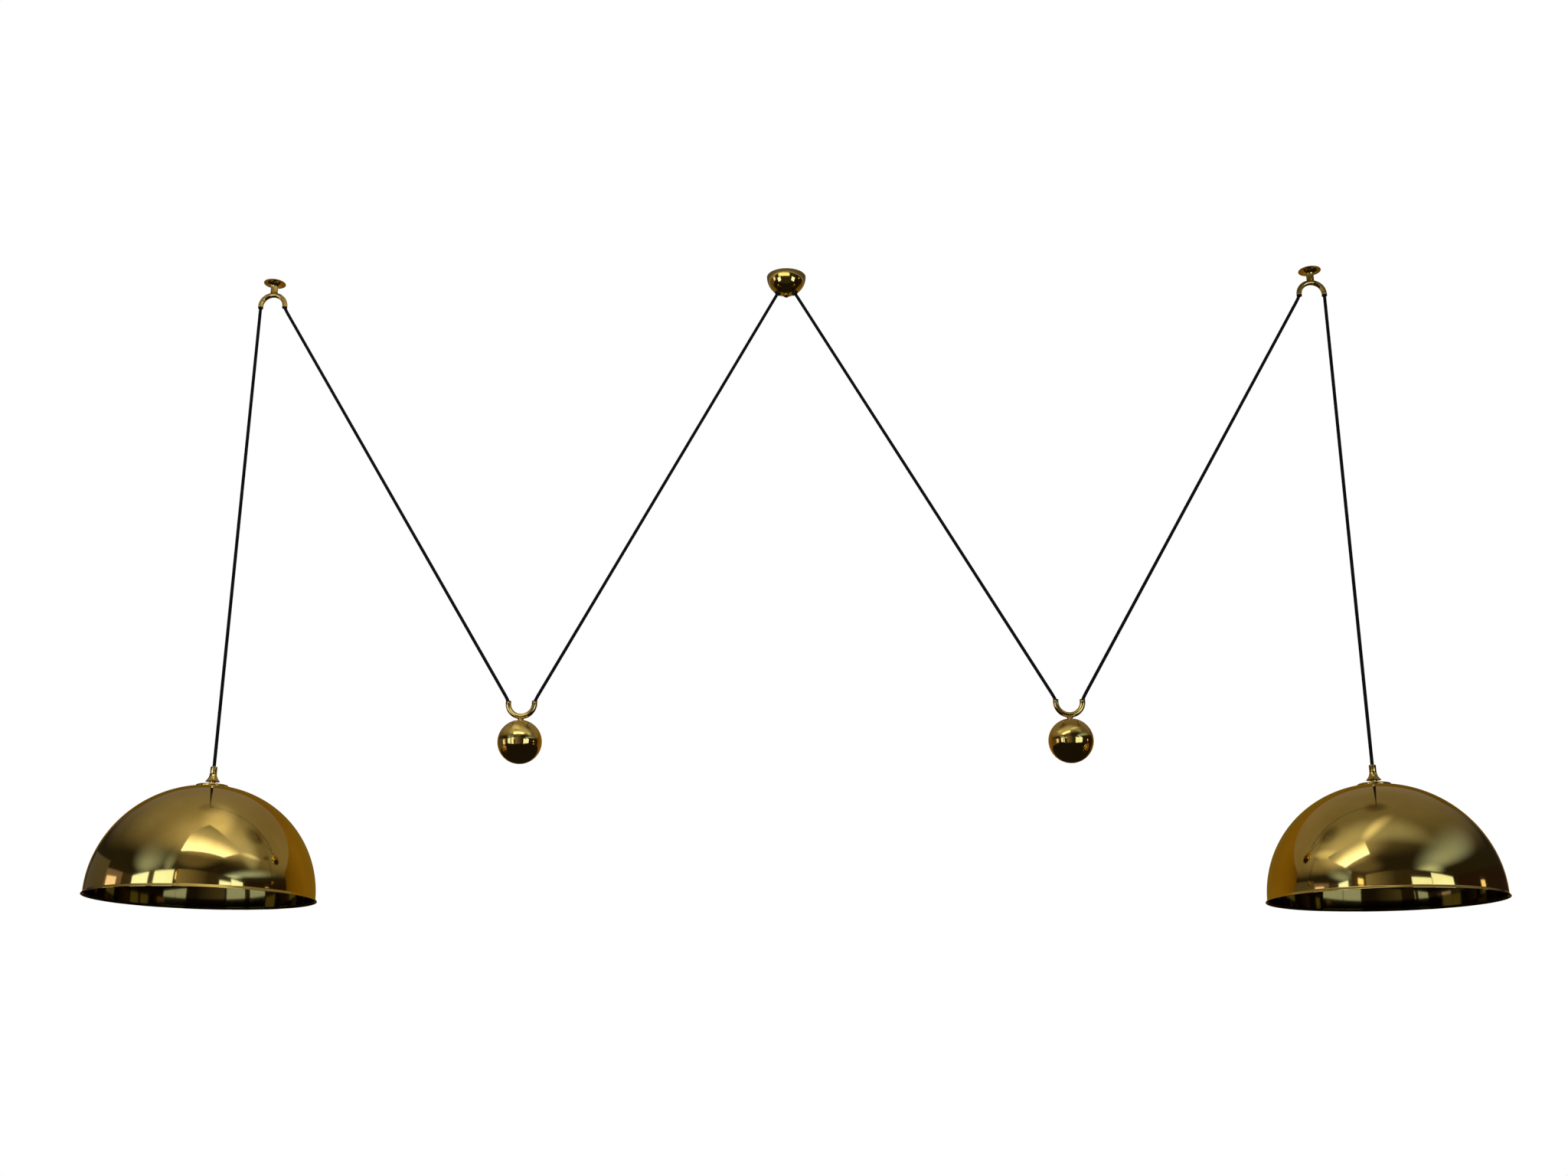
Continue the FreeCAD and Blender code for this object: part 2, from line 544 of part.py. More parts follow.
def lampholder(name, side):
    """The lampholder on the nipple, and its bulb."""
    x = side * SHADE_X
    axis = (x, 0)
    outer = HOLDER_D / 2
    nipple_hole = NIPPLE_D / 2 + FIT
    collar_r = nipple_hole + HOLDER_CAP_BOSS
    skirt_z = HOLDER_JOINT_Z + HOLDER_CAP_SKIRT
    collar_z = HOLDER_TOP_Z - NIPPLE_TAIL
    knee = (HOLDER_CAP_KNEE[0], skirt_z + HOLDER_CAP_KNEE[1])
    wall = HOLDER_WALL
    save(name + "_lampholder_cap", turned(
        (nipple_hole, HOLDER_TOP_Z), (collar_r, HOLDER_TOP_Z), (knee, (outer, skirt_z)),
        (outer, HOLDER_JOINT_Z), (outer - wall, HOLDER_JOINT_Z), (outer - wall, skirt_z),
        ((knee[0] - wall, knee[1] - wall), (collar_r, collar_z + wall)),
        (collar_r, collar_z), (nipple_hole, collar_z), at=axis))

    body_z = HOLDER_JOINT_Z - HOLDER_BODY_H
    bore = HOLDER_BODY_BORE_D / 2
    contacts_top = HOLDER_JOINT_Z - SEAT
    shelf_z = contacts_top - CONTACTS_H
    contacts_r = bore - FIT
    boss_r = CONTACTS_BOSS_D / 2
    step_z = shelf_z + CONTACTS_BOSS_H
    save(name + "_lampholder_body", turned(
        (bore, HOLDER_JOINT_Z - SEAT), (outer, HOLDER_JOINT_Z - SEAT), (outer, body_z), (bore, body_z),
        at=axis))
    save(name + "_lampholder_contacts", turned(
        (0, shelf_z), (boss_r, shelf_z), (boss_r, step_z), (contacts_r, step_z),
        (contacts_r, contacts_top), (0, contacts_top), at=axis))

    tip_z = shelf_z - BULB_BASE_GAP
    base_r = BULB_BASE_D / 2
    thread_top = tip_z - BULB_TIP_H
    base_z = tip_z - BULB_BASE_H
    pitch = (thread_top - base_z) / BULB_RIBS
    wall_r = BULB_NECK_D / 2
    profile = [(BULB_TIP_D / 2, thread_top + BULB_TIP_H), (wall_r, thread_top)]
    for n in range(BULB_RIBS):
        top = thread_top - n * pitch
        profile.append(((base_r, top - pitch / 2), (wall_r, top - pitch)))
    save(name + "_bulb_base", turned((0, tip_z), *profile, (0, base_z), at=axis))

    glass_r = BULB_D / 2
    round_z = base_z - BULB_LENGTH + glass_r
    neck_z = base_z - SEAT
    shoulder, foot = math.radians(BULB_SHOULDER), math.radians(BULB_FOOT)

    def on_globe(r, angle):
        return (r * math.cos(angle), round_z + r * math.sin(angle))

    inner = glass_r - BULB_WALL
    neck_side = (BULB_NECK_SIDE[0], neck_z - BULB_NECK_SIDE[1])
    inner_side = (neck_side[0] - BULB_WALL, neck_side[1])
    save(name + "_bulb_glass", turned(
        (wall_r - BULB_WALL, neck_z), (wall_r, neck_z), (neck_side, on_globe(glass_r, shoulder)),
        ((glass_r, round_z), on_globe(glass_r, -shoulder)),
        (on_globe(glass_r, -foot), (0, round_z - glass_r)),
        (0, round_z - inner), (on_globe(inner, -foot), on_globe(inner, -shoulder)),
        ((inner, round_z), on_globe(inner, shoulder)), (inner_side, (wall_r - BULB_WALL, neck_z)), at=axis))


os.makedirs("parts", exist_ok=True)
canopy()
for name, (side, ball_x) in SIDES.items():
    ceiling_hook(name, side)
    hook_cord(name, side)
    counterweight(name, side, ball_x)
    weight_cord(name, side, ball_x)
    free_cords(name, side, ball_x)
    shade(name, side)
    lampholder(name, side)
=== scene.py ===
"""Looks of the double rise and fall pendant: polished brass, black braided cord, white porcelain.

Metres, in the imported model's frame: the origin is the canopy's centre on the ceiling, +Z is up.
"""
import bmesh
import bpy
import math
from mathutils import Matrix, Vector


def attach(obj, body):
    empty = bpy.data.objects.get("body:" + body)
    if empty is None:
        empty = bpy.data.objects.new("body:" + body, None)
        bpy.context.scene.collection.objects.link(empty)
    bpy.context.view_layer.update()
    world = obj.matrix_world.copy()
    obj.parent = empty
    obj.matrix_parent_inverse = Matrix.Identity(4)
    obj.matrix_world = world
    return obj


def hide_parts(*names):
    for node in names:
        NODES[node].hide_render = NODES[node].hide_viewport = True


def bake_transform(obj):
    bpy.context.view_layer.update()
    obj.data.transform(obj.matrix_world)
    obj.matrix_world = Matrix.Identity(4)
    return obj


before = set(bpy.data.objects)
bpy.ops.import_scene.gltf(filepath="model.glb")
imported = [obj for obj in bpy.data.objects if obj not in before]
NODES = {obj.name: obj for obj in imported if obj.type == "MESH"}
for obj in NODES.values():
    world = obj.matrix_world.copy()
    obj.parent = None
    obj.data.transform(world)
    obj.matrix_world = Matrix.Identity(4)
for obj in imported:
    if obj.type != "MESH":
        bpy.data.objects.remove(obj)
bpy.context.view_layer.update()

MM = 0.001
UP = Vector((0, 0, 1))
ACROSS = Vector((1, 0, 0))
BACK = Vector((0, 1, 0))

# ---- sizes repeated from the part's source, in millimetres -------------------------------------
HOOK_X = 1015.0
BALL_X = {"left": 482.5, "right": 510.9}
BALL_Z = -925.0
BALL_R = 40.0
BALL_HOLE_R = 4.1
BALL_HOLE_DEPTH = 18.0
RIM_Z = -1206.5
CORD_R = 3.0
CORD_ENTRY = 3.2
CORD_JOINT = 0.25
TUBE_R = 5.0
TUBE_WALL = 0.8
TUBE_BEND = 24.0
TUBE_STRAIGHT = 2.0
MOUTH_REACH = TUBE_STRAIGHT + 2.5    # to the outer face of the bush's collar
CANOPY_R = 38.0
CANOPY_WALL = 1.0
CANOPY_EXIT_X = 16.5
CORD_END_DEPTH = 14.0
STUD_HOLE_R = 3.1
EXIT_HOLE_R = 4.3
HOOK_DROP = 20.7
WAIST_H = 2.2
SHADE_X = HOOK_X + TUBE_BEND
DOME_R = 197.0
DOME_WALL = 0.6
LIP_R = 200.0
LIP_H = 4.5
LIP_EDGE = 0.7
LIP_STEP = 0.24
SHADED_INSIDE_FROM = 0.3108      # metres along a dome's outline from its crown: past this it is the inside
NIPPLE_HOLE_R = 5.1
DISC_R = 28.5
DISC_H = 1.4
DISC_EDGE_R = 1.6
GRIP_LIP_R = 13.0
GRIP_TOP_R = 6.1
GRIP_H = 27.0

HOOK_BEND_Z = -(HOOK_DROP + TUBE_R + TUBE_BEND)
HOOK_MOUTH_Z = HOOK_BEND_Z - MOUTH_REACH
WEIGHT_BEND_Z = BALL_Z + BALL_R + WAIST_H + TUBE_R + TUBE_BEND
WEIGHT_MOUTH_Z = WEIGHT_BEND_Z + MOUTH_REACH
DOME_CENTRE_Z = RIM_Z + LIP_H
DISC_Z = DOME_CENTRE_Z + DOME_R + 0.05
GRIP_Z = DISC_Z + DISC_H + 7.0
GRIP_TOP_Z = GRIP_Z + GRIP_H
CORD_END_Z = -1013.7
SIDES = {"left": -1, "right": 1}


# ---- materials -----------------------------------------------------------------------------------
def linear(hex_colour):
    """An sRGB hex colour as linear RGBA."""
    parts = [int(hex_colour[i:i + 2], 16) / 255 for i in (1, 3, 5)]
    return [c / 12.92 if c <= 0.04045 else ((c + 0.055) / 1.055) ** 2.4 for c in parts] + [1.0]


def add(tree, kind, settings=None, **links):
    """A node with its settings, and its inputs by name or number: a socket is linked, a value is set."""
    node = tree.nodes.new(kind)
    for key, value in (settings or {}).items():
        setattr(node, key, value)
    for key, value in links.items():
        socket = node.inputs[int(key[1:]) if key[0] == "i" and key[1:].isdigit() else key.replace("_", " ")]
        if isinstance(value, bpy.types.NodeSocket):
            tree.links.new(value, socket)
        else:
            socket.default_value = value
    return node


def material(name, **uniform):
    """A new material, its tree and its shader, with the values that are the same all over it."""
    made = bpy.data.materials.new(name)
    made.use_nodes = True
    tree = made.node_tree
    shader = tree.nodes["Principled BSDF"]
    for key, value in uniform.items():
        shader.inputs[key.replace("_", " ")].default_value = value
    return made, tree, shader


def ramp(tree, factor, *stops):
    """A colour ramp; a stop is (place, hex colour or grey level)."""
    node = add(tree, "ShaderNodeValToRGB", i0=factor)
    elements = node.color_ramp.elements
    while len(elements) < len(stops):
        elements.new(0.5)
    for element, (place, colour) in zip(elements, stops):
        element.position = place
        element.color = linear(colour) if isinstance(colour, str) else (colour, colour, colour, 1)
    return node.outputs["Color"]


def spread(tree, value, low, high):
    """The value's 0 to 1 spread over low to high."""
    return add(tree, "ShaderNodeMapRange", i0=value, To_Min=low, To_Max=high).outputs[0]


def polished_brass():
    """Polished brass, CZ108, spun or turned and buffed, not lacquered: a warm mirror whose images
    are drawn out across the fine turning lines, with a faint cloudy tarnish. The shades' insides,
    past a set length along the outline from the crown, take a dark tone: painted shade."""
    made, tree, shader = material("polished_brass", Metallic=1.0, Anisotropic=0.4)
    place = add(tree, "ShaderNodeTexCoord").outputs["Object"]
    lathe = add(tree, "ShaderNodeUVMap", {"uv_map": "UVMap"}).outputs[0]
    clouds = add(tree, "ShaderNodeTexNoise", Vector=place, Scale=9.0, Detail=4.0, Roughness=0.6).outputs[0]
    tone = ramp(tree, clouds, (0.3, "#D9B35A"), (0.55, "#E6C46A"), (0.8, "#EBCB74"))
    along = add(tree, "ShaderNodeSeparateXYZ", i0=lathe).outputs["Y"]
    # past the inside mark along the outline the brass turns a dark tone: painted shade inside the shades
    inside = add(tree, "ShaderNodeMapRange", i0=along, From_Min=SHADED_INSIDE_FROM,
                 From_Max=SHADED_INSIDE_FROM + 0.0015).outputs[0]
    tone = add(tree, "ShaderNodeMix", {"data_type": "RGBA"}, i0=inside, i6=tone,
               i7=linear("#7A6836")).outputs[2]
    tree.links.new(tone, shader.inputs["Base Color"])
    tree.links.new(spread(tree, clouds, 0.04, 0.10), shader.inputs["Roughness"])
    # turning lines 0.4 mm apart, drawn out round the piece
    lines = add(tree, "ShaderNodeMapping", Vector=lathe, Scale=(3.0, 1 / (0.4 * MM), 1.0)).outputs[0]
    rings = add(tree, "ShaderNodeTexNoise", Vector=lines, Scale=1.0, Detail=3.0, Roughness=0.65).outputs[0]
    bump = add(tree, "ShaderNodeBump", Strength=0.06, Distance=0.02 * MM, Height=rings)
    tree.links.new(bump.outputs[0], shader.inputs["Normal"])
    tangent = add(tree, "ShaderNodeTangent", {"direction_type": "UV_MAP", "uv_map": "UVMap"})
    tree.links.new(tangent.outputs[0], shader.inputs["Tangent"])
    shader.inputs["Anisotropic Rotation"].default_value = 0.25
    return made


def fitting_brass():
    """The same brass on turned fittings too small to show turning lines: a little duller."""
    made, tree, shader = material("fitting_brass", Metallic=1.0)
    place = add(tree, "ShaderNodeTexCoord").outputs["Object"]
    clouds = add(tree, "ShaderNodeTexNoise", Vector=place, Scale=60.0, Detail=3.0).outputs[0]
    tone = ramp(tree, clouds, (0.3, "#D6AF56"), (0.6, "#E6C46A"), (0.8, "#EBCB74"))
    tree.links.new(tone, shader.inputs["Base Color"])
    tree.links.new(spread(tree, clouds, 0.08, 0.2), shader.inputs["Roughness"])
    return made


def black_textile():
    """Round cord braided over with black rayon: dull and deep black, because light is lost between
    its threads, with a trace of sheen on each plait."""
    made, tree, shader = material("black_textile", Roughness=0.8, Specular_IOR_Level=0.1, Sheen_Weight=0.02,
                                  Sheen_Roughness=0.4)
    shader.inputs["Sheen Tint"].default_value = linear("#6A6660")
    run = add(tree, "ShaderNodeUVMap", {"uv_map": "UVMap"}).outputs[0]
    # threads about 0.3 mm thick lie round and along each plait
    threads = add(tree, "ShaderNodeMapping", Vector=run, Scale=(64.0, 3400.0, 1.0)).outputs[0]
    fibre = add(tree, "ShaderNodeTexNoise", Vector=threads, Scale=1.0, Detail=2.0).outputs[0]
    tree.links.new(ramp(tree, fibre, (0.3, "#050404"), (0.7, "#0F0D0C")), shader.inputs["Base Color"])
    bump = add(tree, "ShaderNodeBump", Strength=0.5, Distance=0.1 * MM, Height=fibre)
    tree.links.new(bump.outputs[0], shader.inputs["Normal"])
    return made


def moulded(name, base, worn, grain_mm, **uniform):
    """A moulded or fired material: an even colour with a faint mottle, and a fine grain."""
    made, tree, shader = material(name, **uniform)
    place = add(tree, "ShaderNodeTexCoord").outputs["Object"]
    mottle = add(tree, "ShaderNodeTexNoise", Vector=place, Scale=120.0, Detail=3.0).outputs[0]
    grain = add(tree, "ShaderNodeTexNoise", Vector=place, Scale=1000.0 / grain_mm, Detail=1.0).outputs[0]
    tree.links.new(ramp(tree, mottle, (0.35, base), (0.7, worn)), shader.inputs["Base Color"])
    bump = add(tree, "ShaderNodeBump", Strength=0.15, Distance=0.03 * MM, Height=grain)
    tree.links.new(bump.outputs[0], shader.inputs["Normal"])
    return made


BRASS = polished_brass()
FITTING = fitting_brass()
TEXTILE = black_textile()
# nylon 66, moulded, black: satin
BUSH = moulded("black_nylon", "#0A0A0B", "#121212", 0.3, Roughness=0.42, Specular_IOR_Level=0.3)
# nylon 66, natural
STOP = moulded("natural_nylon", "#DCD7C8", "#E8E4D8", 0.3, Roughness=0.42, Subsurface_Weight=0.1)
# mild steel strip, zinc plated: a grey spangled lustre
ZINC = moulded("zinc_plated_steel", "#9DA2A6", "#B9BEC1", 0.8, Metallic=1.0, Roughness=0.33)
# soft PVC round each conductor: brown and blue
PVC = (moulded("brown_pvc", "#5A3420", "#6A3E28", 0.5, Roughness=0.45),
       moulded("blue_pvc", "#2A4E86", "#315892", 0.5, Roughness=0.45))
# glazed electrical porcelain
PORCELAIN = moulded("glazed_porcelain", "#E9E6DC", "#F0EEE6", 0.9, Roughness=0.12, Coat_Weight=0.4)
# rolled nickel-plated brass of the bulb's cap
CAP = moulded("nickel_plated_cap", "#B8B5AB", "#C9C6BC", 0.8, Metallic=1.0, Roughness=0.24)
# opal glass, coated white inside
OPAL = moulded("opal_glass", "#EFEBE0", "#F4F1E8", 2.0, Roughness=0.1, Subsurface_Weight=0.25,
               Coat_Weight=0.5)


# ---- rings on a line: turned, spun and bent pieces, and braided cord ----------------------------
def ring_tree():
    """A tree that turns a line of ring centres into a closed surface of rings.

    Each point of the line carries its ring's radius (reach), the directions at 0 and 90 degrees
    (across, upward) and its distance along the line. Plaits of a braid stand proud by Relief."""
    tree = bpy.data.node_groups.new("rings_on_a_line", "GeometryNodeTree")
    face = tree.interface
    face.new_socket("Line", in_out="INPUT", socket_type="NodeSocketGeometry")
    for name, kind in (("Sides", "NodeSocketInt"), ("Plaits", "NodeSocketFloat"),
                       ("Plait slope", "NodeSocketFloat"), ("Relief", "NodeSocketFloat"),
                       ("Finish", "NodeSocketMaterial")):
        face.new_socket(name, in_out="INPUT", socket_type=kind)
    face.new_socket("Surface", in_out="OUTPUT", socket_type="NodeSocketGeometry")
    given = tree.nodes.new("NodeGroupInput").outputs
    line = given["Line"]
    count = add(tree, "GeometryNodeAttributeDomainSize", i0=line).outputs["Point Count"]
    columns = add(tree, "ShaderNodeMath", {"operation": "ADD"}, i0=given["Sides"], i1=1.0).outputs[0]
    grid = add(tree, "GeometryNodeMeshGrid", Size_X=1.0, Size_Y=1.0, Vertices_X=count, Vertices_Y=columns)
    where = add(tree, "ShaderNodeSeparateXYZ", i0=add(tree, "GeometryNodeInputPosition").outputs[0])

    def maths(operation, first, second=0.0):
        return add(tree, "ShaderNodeMath", {"operation": operation}, i0=first, i1=second).outputs[0]

    def vectors(operation, first, second):
        node = add(tree, "ShaderNodeVectorMath", {"operation": operation}, i0=first)
        tree.links.new(second, node.inputs["Scale" if operation == "SCALE" else 1])
        return node.outputs[0]

    share = maths("ADD", where.outputs["X"], 0.5)
    row = maths("ROUND", maths("MULTIPLY", share, maths("SUBTRACT", count, 1.0)))
    turn = maths("ADD", where.outputs["Y"], 0.5)

    def on_line(name, kind):
        if name == "position":
            source = add(tree, "GeometryNodeInputPosition").outputs[0]
        else:
            source = add(tree, "GeometryNodeInputNamedAttribute", {"data_type": kind}, Name=name).outputs[0]
        node = add(tree, "GeometryNodeSampleIndex", {"data_type": kind, "domain": "POINT"}, Geometry=line)
        tree.links.new(source, node.inputs["Value"])
        tree.links.new(row, node.inputs["Index"])
        return node.outputs[0]

    along = on_line("along", "FLOAT")
    angle = maths("MULTIPLY", turn, 2 * math.pi)
    around = maths("MULTIPLY", maths("MULTIPLY", turn, given["Plaits"]), math.pi)
    lead = maths("MULTIPLY", along, given["Plait slope"])
    weave = maths("MULTIPLY", maths("ABSOLUTE", maths("SINE", maths("ADD", around, lead))),
                  maths("ABSOLUTE", maths("SINE", maths("SUBTRACT", around, lead))))
    proud = maths("MULTIPLY", maths("SQRT", weave), given["Relief"])
    reach = maths("ADD", on_line("reach", "FLOAT"), proud)
    spoke = vectors("ADD", vectors("SCALE", on_line("across", "FLOAT_VECTOR"), maths("COSINE", angle)),
                    vectors("SCALE", on_line("upward", "FLOAT_VECTOR"), maths("SINE", angle)))
    place = vectors("ADD", on_line("position", "FLOAT_VECTOR"), vectors("SCALE", spoke, reach))
    sheet = add(tree, "GeometryNodeStoreNamedAttribute", {"data_type": "FLOAT2", "domain": "CORNER"},
                Geometry=grid.outputs["Mesh"], Name="UVMap",
                Value=add(tree, "ShaderNodeCombineXYZ", X=turn, Y=along).outputs[0])
    moved = add(tree, "GeometryNodeSetPosition", Geometry=sheet.outputs[0], Position=place)
    closed = add(tree, "GeometryNodeMergeByDistance", Geometry=moved.outputs[0], Distance=1e-6)
    real = add(tree, "GeometryNodeRealizeInstances", Geometry=closed.outputs[0])
    painted = add(tree, "GeometryNodeSetMaterial", Geometry=real.outputs[0], Material=given["Finish"])
    add(tree, "NodeGroupOutput", i0=painted.outputs[0])
    return tree


RINGS = ring_tree()


def made_mesh(name, rings, sides, finish, plaits=0, slope=0.0, relief=0.0, sharp=40):
    """A piece from rings of (centre, radius, across, upward), in metres, by the ring tree."""
    line = bpy.data.meshes.new(name)
    line.from_pydata([tuple(r[0]) for r in rings], [(i, i + 1) for i in range(len(rings) - 1)], [])
    along, profile = [0.0], [r[0] + r[2] * r[1] for r in rings]
    for before, after in zip(profile, profile[1:]):
        along.append(along[-1] + (after - before).length)
    for key, kind, values in (("reach", "FLOAT", [r[1] for r in rings]), ("along", "FLOAT", along),
                              ("across", "FLOAT_VECTOR", [c for r in rings for c in r[2]]),
                              ("upward", "FLOAT_VECTOR", [c for r in rings for c in r[3]])):
        data = line.attributes.new(key, kind, "POINT").data
        data.foreach_set("vector" if kind == "FLOAT_VECTOR" else "value", values)
    piece = bpy.data.objects.new(name, line)
    bpy.context.scene.collection.objects.link(piece)
    modifier = piece.modifiers.new("rings", "NODES")
    modifier.node_group = RINGS
    inputs = {"Sides": sides, "Plaits": float(plaits), "Plait slope": float(slope),
              "Relief": relief, "Finish": finish}
    for item in RINGS.interface.items_tree:
        if item.name in inputs and item.in_out == "INPUT":
            modifier[item.identifier] = inputs[item.name]
    bpy.context.view_layer.update()
    mesh = bpy.data.meshes.new_from_object(piece.evaluated_get(bpy.context.evaluated_depsgraph_get()))
    piece.modifiers.clear()
    piece.data = mesh
    mesh.name = name
    bpy.data.meshes.remove(line)
    work = bmesh.new()
    work.from_mesh(mesh)
    bmesh.ops.recalc_face_normals(work, faces=work.faces)
    for one in work.faces:
        one.smooth = True
    work.to_mesh(mesh)
    work.free()
    mesh.set_sharp_from_angle(angle=math.radians(sharp))
    return piece


def arc_through(start, through, end, step):
    """Points after start on the arc through three (radius, height) points."""
    (ax, ay), (bx, by), (cx, cy) = start, through, end
    d = 2 * (ax * (by - cy) + bx * (cy - ay) + cx * (ay - by))
    ux = ((ax**2 + ay**2) * (by - cy) + (bx**2 + by**2) * (cy - ay) + (cx**2 + cy**2) * (ay - by)) / d
    uy = ((ax**2 + ay**2) * (cx - bx) + (bx**2 + by**2) * (ax - cx) + (cx**2 + cy**2) * (bx - ax)) / d
    radius = math.hypot(ax - ux, ay - uy)
    first = math.atan2(ay - uy, ax - ux)
    sweep = math.atan2(cy - uy, cx - ux) - first
    middle = math.atan2(by - uy, bx - ux) - first
    full = 2 * math.pi
    if middle % full <= sweep % full:
        sweep %= full
    else:
        sweep = sweep % full - full
    count = max(2, math.ceil(abs(sweep) * radius / step))
    return [(ux + radius * math.cos(first + sweep * i / count),
             uy + radius * math.sin(first + sweep * i / count)) for i in range(1, count + 1)]


def profile(start, *moves, step=1.0, ease=0.15):
    """A closed outline of (radius, height) in millimetres; a move is a point or (through, end) of an
    arc. Corners are eased, so that their edges catch the light as worked metal does."""
    runs = [(start,)]
    here = start
    for move in moves + (start,):
        if isinstance(move[0], tuple):
            runs.append(tuple(arc_through(here, move[0], move[1], step)))
        else:
            runs.append((move,))
        here = runs[-1][-1]
    points = [p for run in runs for p in run][:-1]
    corners = {run[-1] for run in runs} | {start}
    out = []
    for i, point in enumerate(points):
        before, after = points[i - 1], points[(i + 1) % len(points)]
        inn = Vector(point) - Vector(before)
        off = Vector(after) - Vector(point)
        if point not in corners or point[0] == 0 or not inn.length or not off.length:
            out.append(point)
            continue
        if inn.angle(off) < math.radians(20):
            out.append(point)
            continue
        near = min(ease, 0.35 * inn.length)
        far = min(ease, 0.35 * off.length)
        a, b = Vector(point) - inn.normalized() * near, Vector(point) + off.normalized() * far
        if inn.length > 3 * ease:
            out.append(tuple(a - inn.normalized() * near))
        for t in (0, 0.25, 0.5, 0.75, 1):
            out.append(tuple(a * (1 - t)**2 + Vector(point) * 2 * t * (1 - t) + b * t**2))
        if off.length > 3 * ease:
            out.append(tuple(b + off.normalized() * far))
    return out + [out[0]]


def spun(name, x, outline, sides, finish=BRASS, **more):
    """A piece turned about the upright axis at x, from its outline in millimetres."""
    rings = [(Vector((x, 0, z)) * MM, r * MM, ACROSS, BACK) for r, z in outline]
    return made_mesh(name, rings, sides, finish, **more)


def joined(name, pieces):
    """Several meshes as one piece."""
    with bpy.context.temp_override(active_object=pieces[0], object=pieces[0], selected_objects=pieces,
                                   selected_editable_objects=pieces):
        bpy.ops.object.join()
    pieces[0].name = name
    return pieces[0]


def ride_for(piece, body, slot, *nodes):
    """The piece moves with the body and stands for the nodes."""
    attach(piece, body)
    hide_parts(*nodes)


# ---- bent brass tubes ------------------------------------------------------------------------------
def bend_line(x, bend_z, way, tails, step):
    """(centre, tangent) along a half circle between two upright arms, in millimetres."""
    stations = []
    first = math.asin(max(-tails[0], 0) / TUBE_BEND)
    last = math.pi - math.asin(max(-tails[1], 0) / TUBE_BEND)
    if tails[0] > 0:
        stations.append((Vector((x - TUBE_BEND, 0, bend_z - way * tails[0])), UP * way))
    count = math.ceil((last - first) * TUBE_BEND / step)
    for i in range(count + 1):
        angle = first + (last - first) * i / count
        out = Vector((-math.cos(angle), 0, way * math.sin(angle)))
        stations.append((Vector((x, 0, bend_z)) + out * TUBE_BEND,
                         Vector((math.sin(angle), 0, way * math.cos(angle)))))
    if tails[1] > 0:
        stations.append((Vector((x + TUBE_BEND, 0, bend_z - way * tails[1])), UP * -way))
    return stations


def bent_tube(name, x, bend_z, way, body):
    """A tube with its two open mouths; the bushes inside are the model's own."""
    stations = bend_line(x, bend_z, way, (TUBE_STRAIGHT, TUBE_STRAIGHT), 1.2)
    eased = 0.2
    rings = []
    for inside in (False, True):
        radius = TUBE_R - (TUBE_WALL if inside else 0)
        run = stations[::-1] if inside else stations
        for i, (centre, tangent) in enumerate(run):
            square = tangent.cross(BACK).normalized()
            at_end = i in (0, len(run) - 1)
            if at_end:
                inward = (run[1][0] - centre if i == 0 else run[-2][0] - centre).normalized()
                corner = [(eased, 0.0), (0.06, 0.06), (0.0, eased)]
                for back, trim in (corner[::-1] if i == 0 else corner):
                    rings.append(((centre + inward * back) * MM,
                                  (radius + (trim if inside else -trim)) * MM, square, BACK))
            else:
                rings.append((centre * MM, radius * MM, square, BACK))
    rings.append(rings[0])
    tube = made_mesh(name + "_brass", rings, 40, BRASS)
    ride_for(tube, body, "polished_brass", name)


# ---- cords -------------------------------------------------------------------------------------------
PLAITS = 8                # strands that cross the cord's round each way
CORD_SIDES = PLAITS * 4
PLAIT_RELIEF = 0.22 * MM
PLAIT_SLOPE = PLAITS / 2 / (CORD_R * MM)      # plaits lie at 45 degrees
CORD_STEP = math.pi / 4 / PLAIT_SLOPE         # rows that meet the plaits' crests


def smooth_line(name, points):
    """The points of a smooth curve that the route's points pull."""
    curve = bpy.data.curves.new(name, "CURVE")
    curve.dimensions = "3D"
    curve.resolution_u = 48
    spline = curve.splines.new("NURBS")
    spline.points.add(len(points) - 1)
    for control, point in zip(spline.points, points):
        control.co = (*(Vector(point) * MM), 1)
    spline.order_u = 3
    spline.use_endpoint_u = True
    holder = bpy.data.objects.new(name, curve)
    bpy.context.scene.collection.objects.link(holder)
    bpy.context.view_layer.update()
    mesh = bpy.data.meshes.new_from_object(holder)
    line = [v.co.copy() for v in mesh.vertices]
    bpy.data.objects.remove(holder)
    bpy.data.meshes.remove(mesh)
    bpy.data.curves.remove(curve)
    return line


def evenly(line, step):
    """Stations at even steps along a line: (centre, tangent)."""
    lengths = [0.0]
    for before, after in zip(line, line[1:]):
        lengths.append(lengths[-1] + (after - before).length)
    count = max(4, round(lengths[-1] / step))
    stations, i = [], 0
    for n in range(count + 1):
        want = lengths[-1] * n / count
        while i < len(line) - 2 and lengths[i + 1] < want:
            i += 1
        run = line[i + 1] - line[i]
        stations.append((line[i] + run * ((want - lengths[i]) / run.length), run.normalized()))
    return stations


def braided(name, line):
    """A braided cord along the line, closed at both ends, of the model's cord diameter."""
    stations = evenly(line, CORD_STEP)
    core = CORD_R * MM - PLAIT_RELIEF / 2
    rings = []
    for i, (centre, _) in enumerate(stations):
        ahead = stations[min(i + 1, len(stations) - 1)][0]
        behind = stations[max(i - 1, 0)][0]
        square = (ahead - behind).cross(BACK).normalized()
        rings.append((centre, core, square, BACK))
    first, last = rings[0], rings[-1]
    rings.insert(0, (first[0], 0.0, first[2], BACK))
    rings.append((last[0], 0.0, last[2], BACK))
    return made_mesh(name, rings, CORD_SIDES, TEXTILE, plaits=PLAITS, slope=PLAIT_SLOPE,
                     relief=PLAIT_RELIEF, sharp=70)


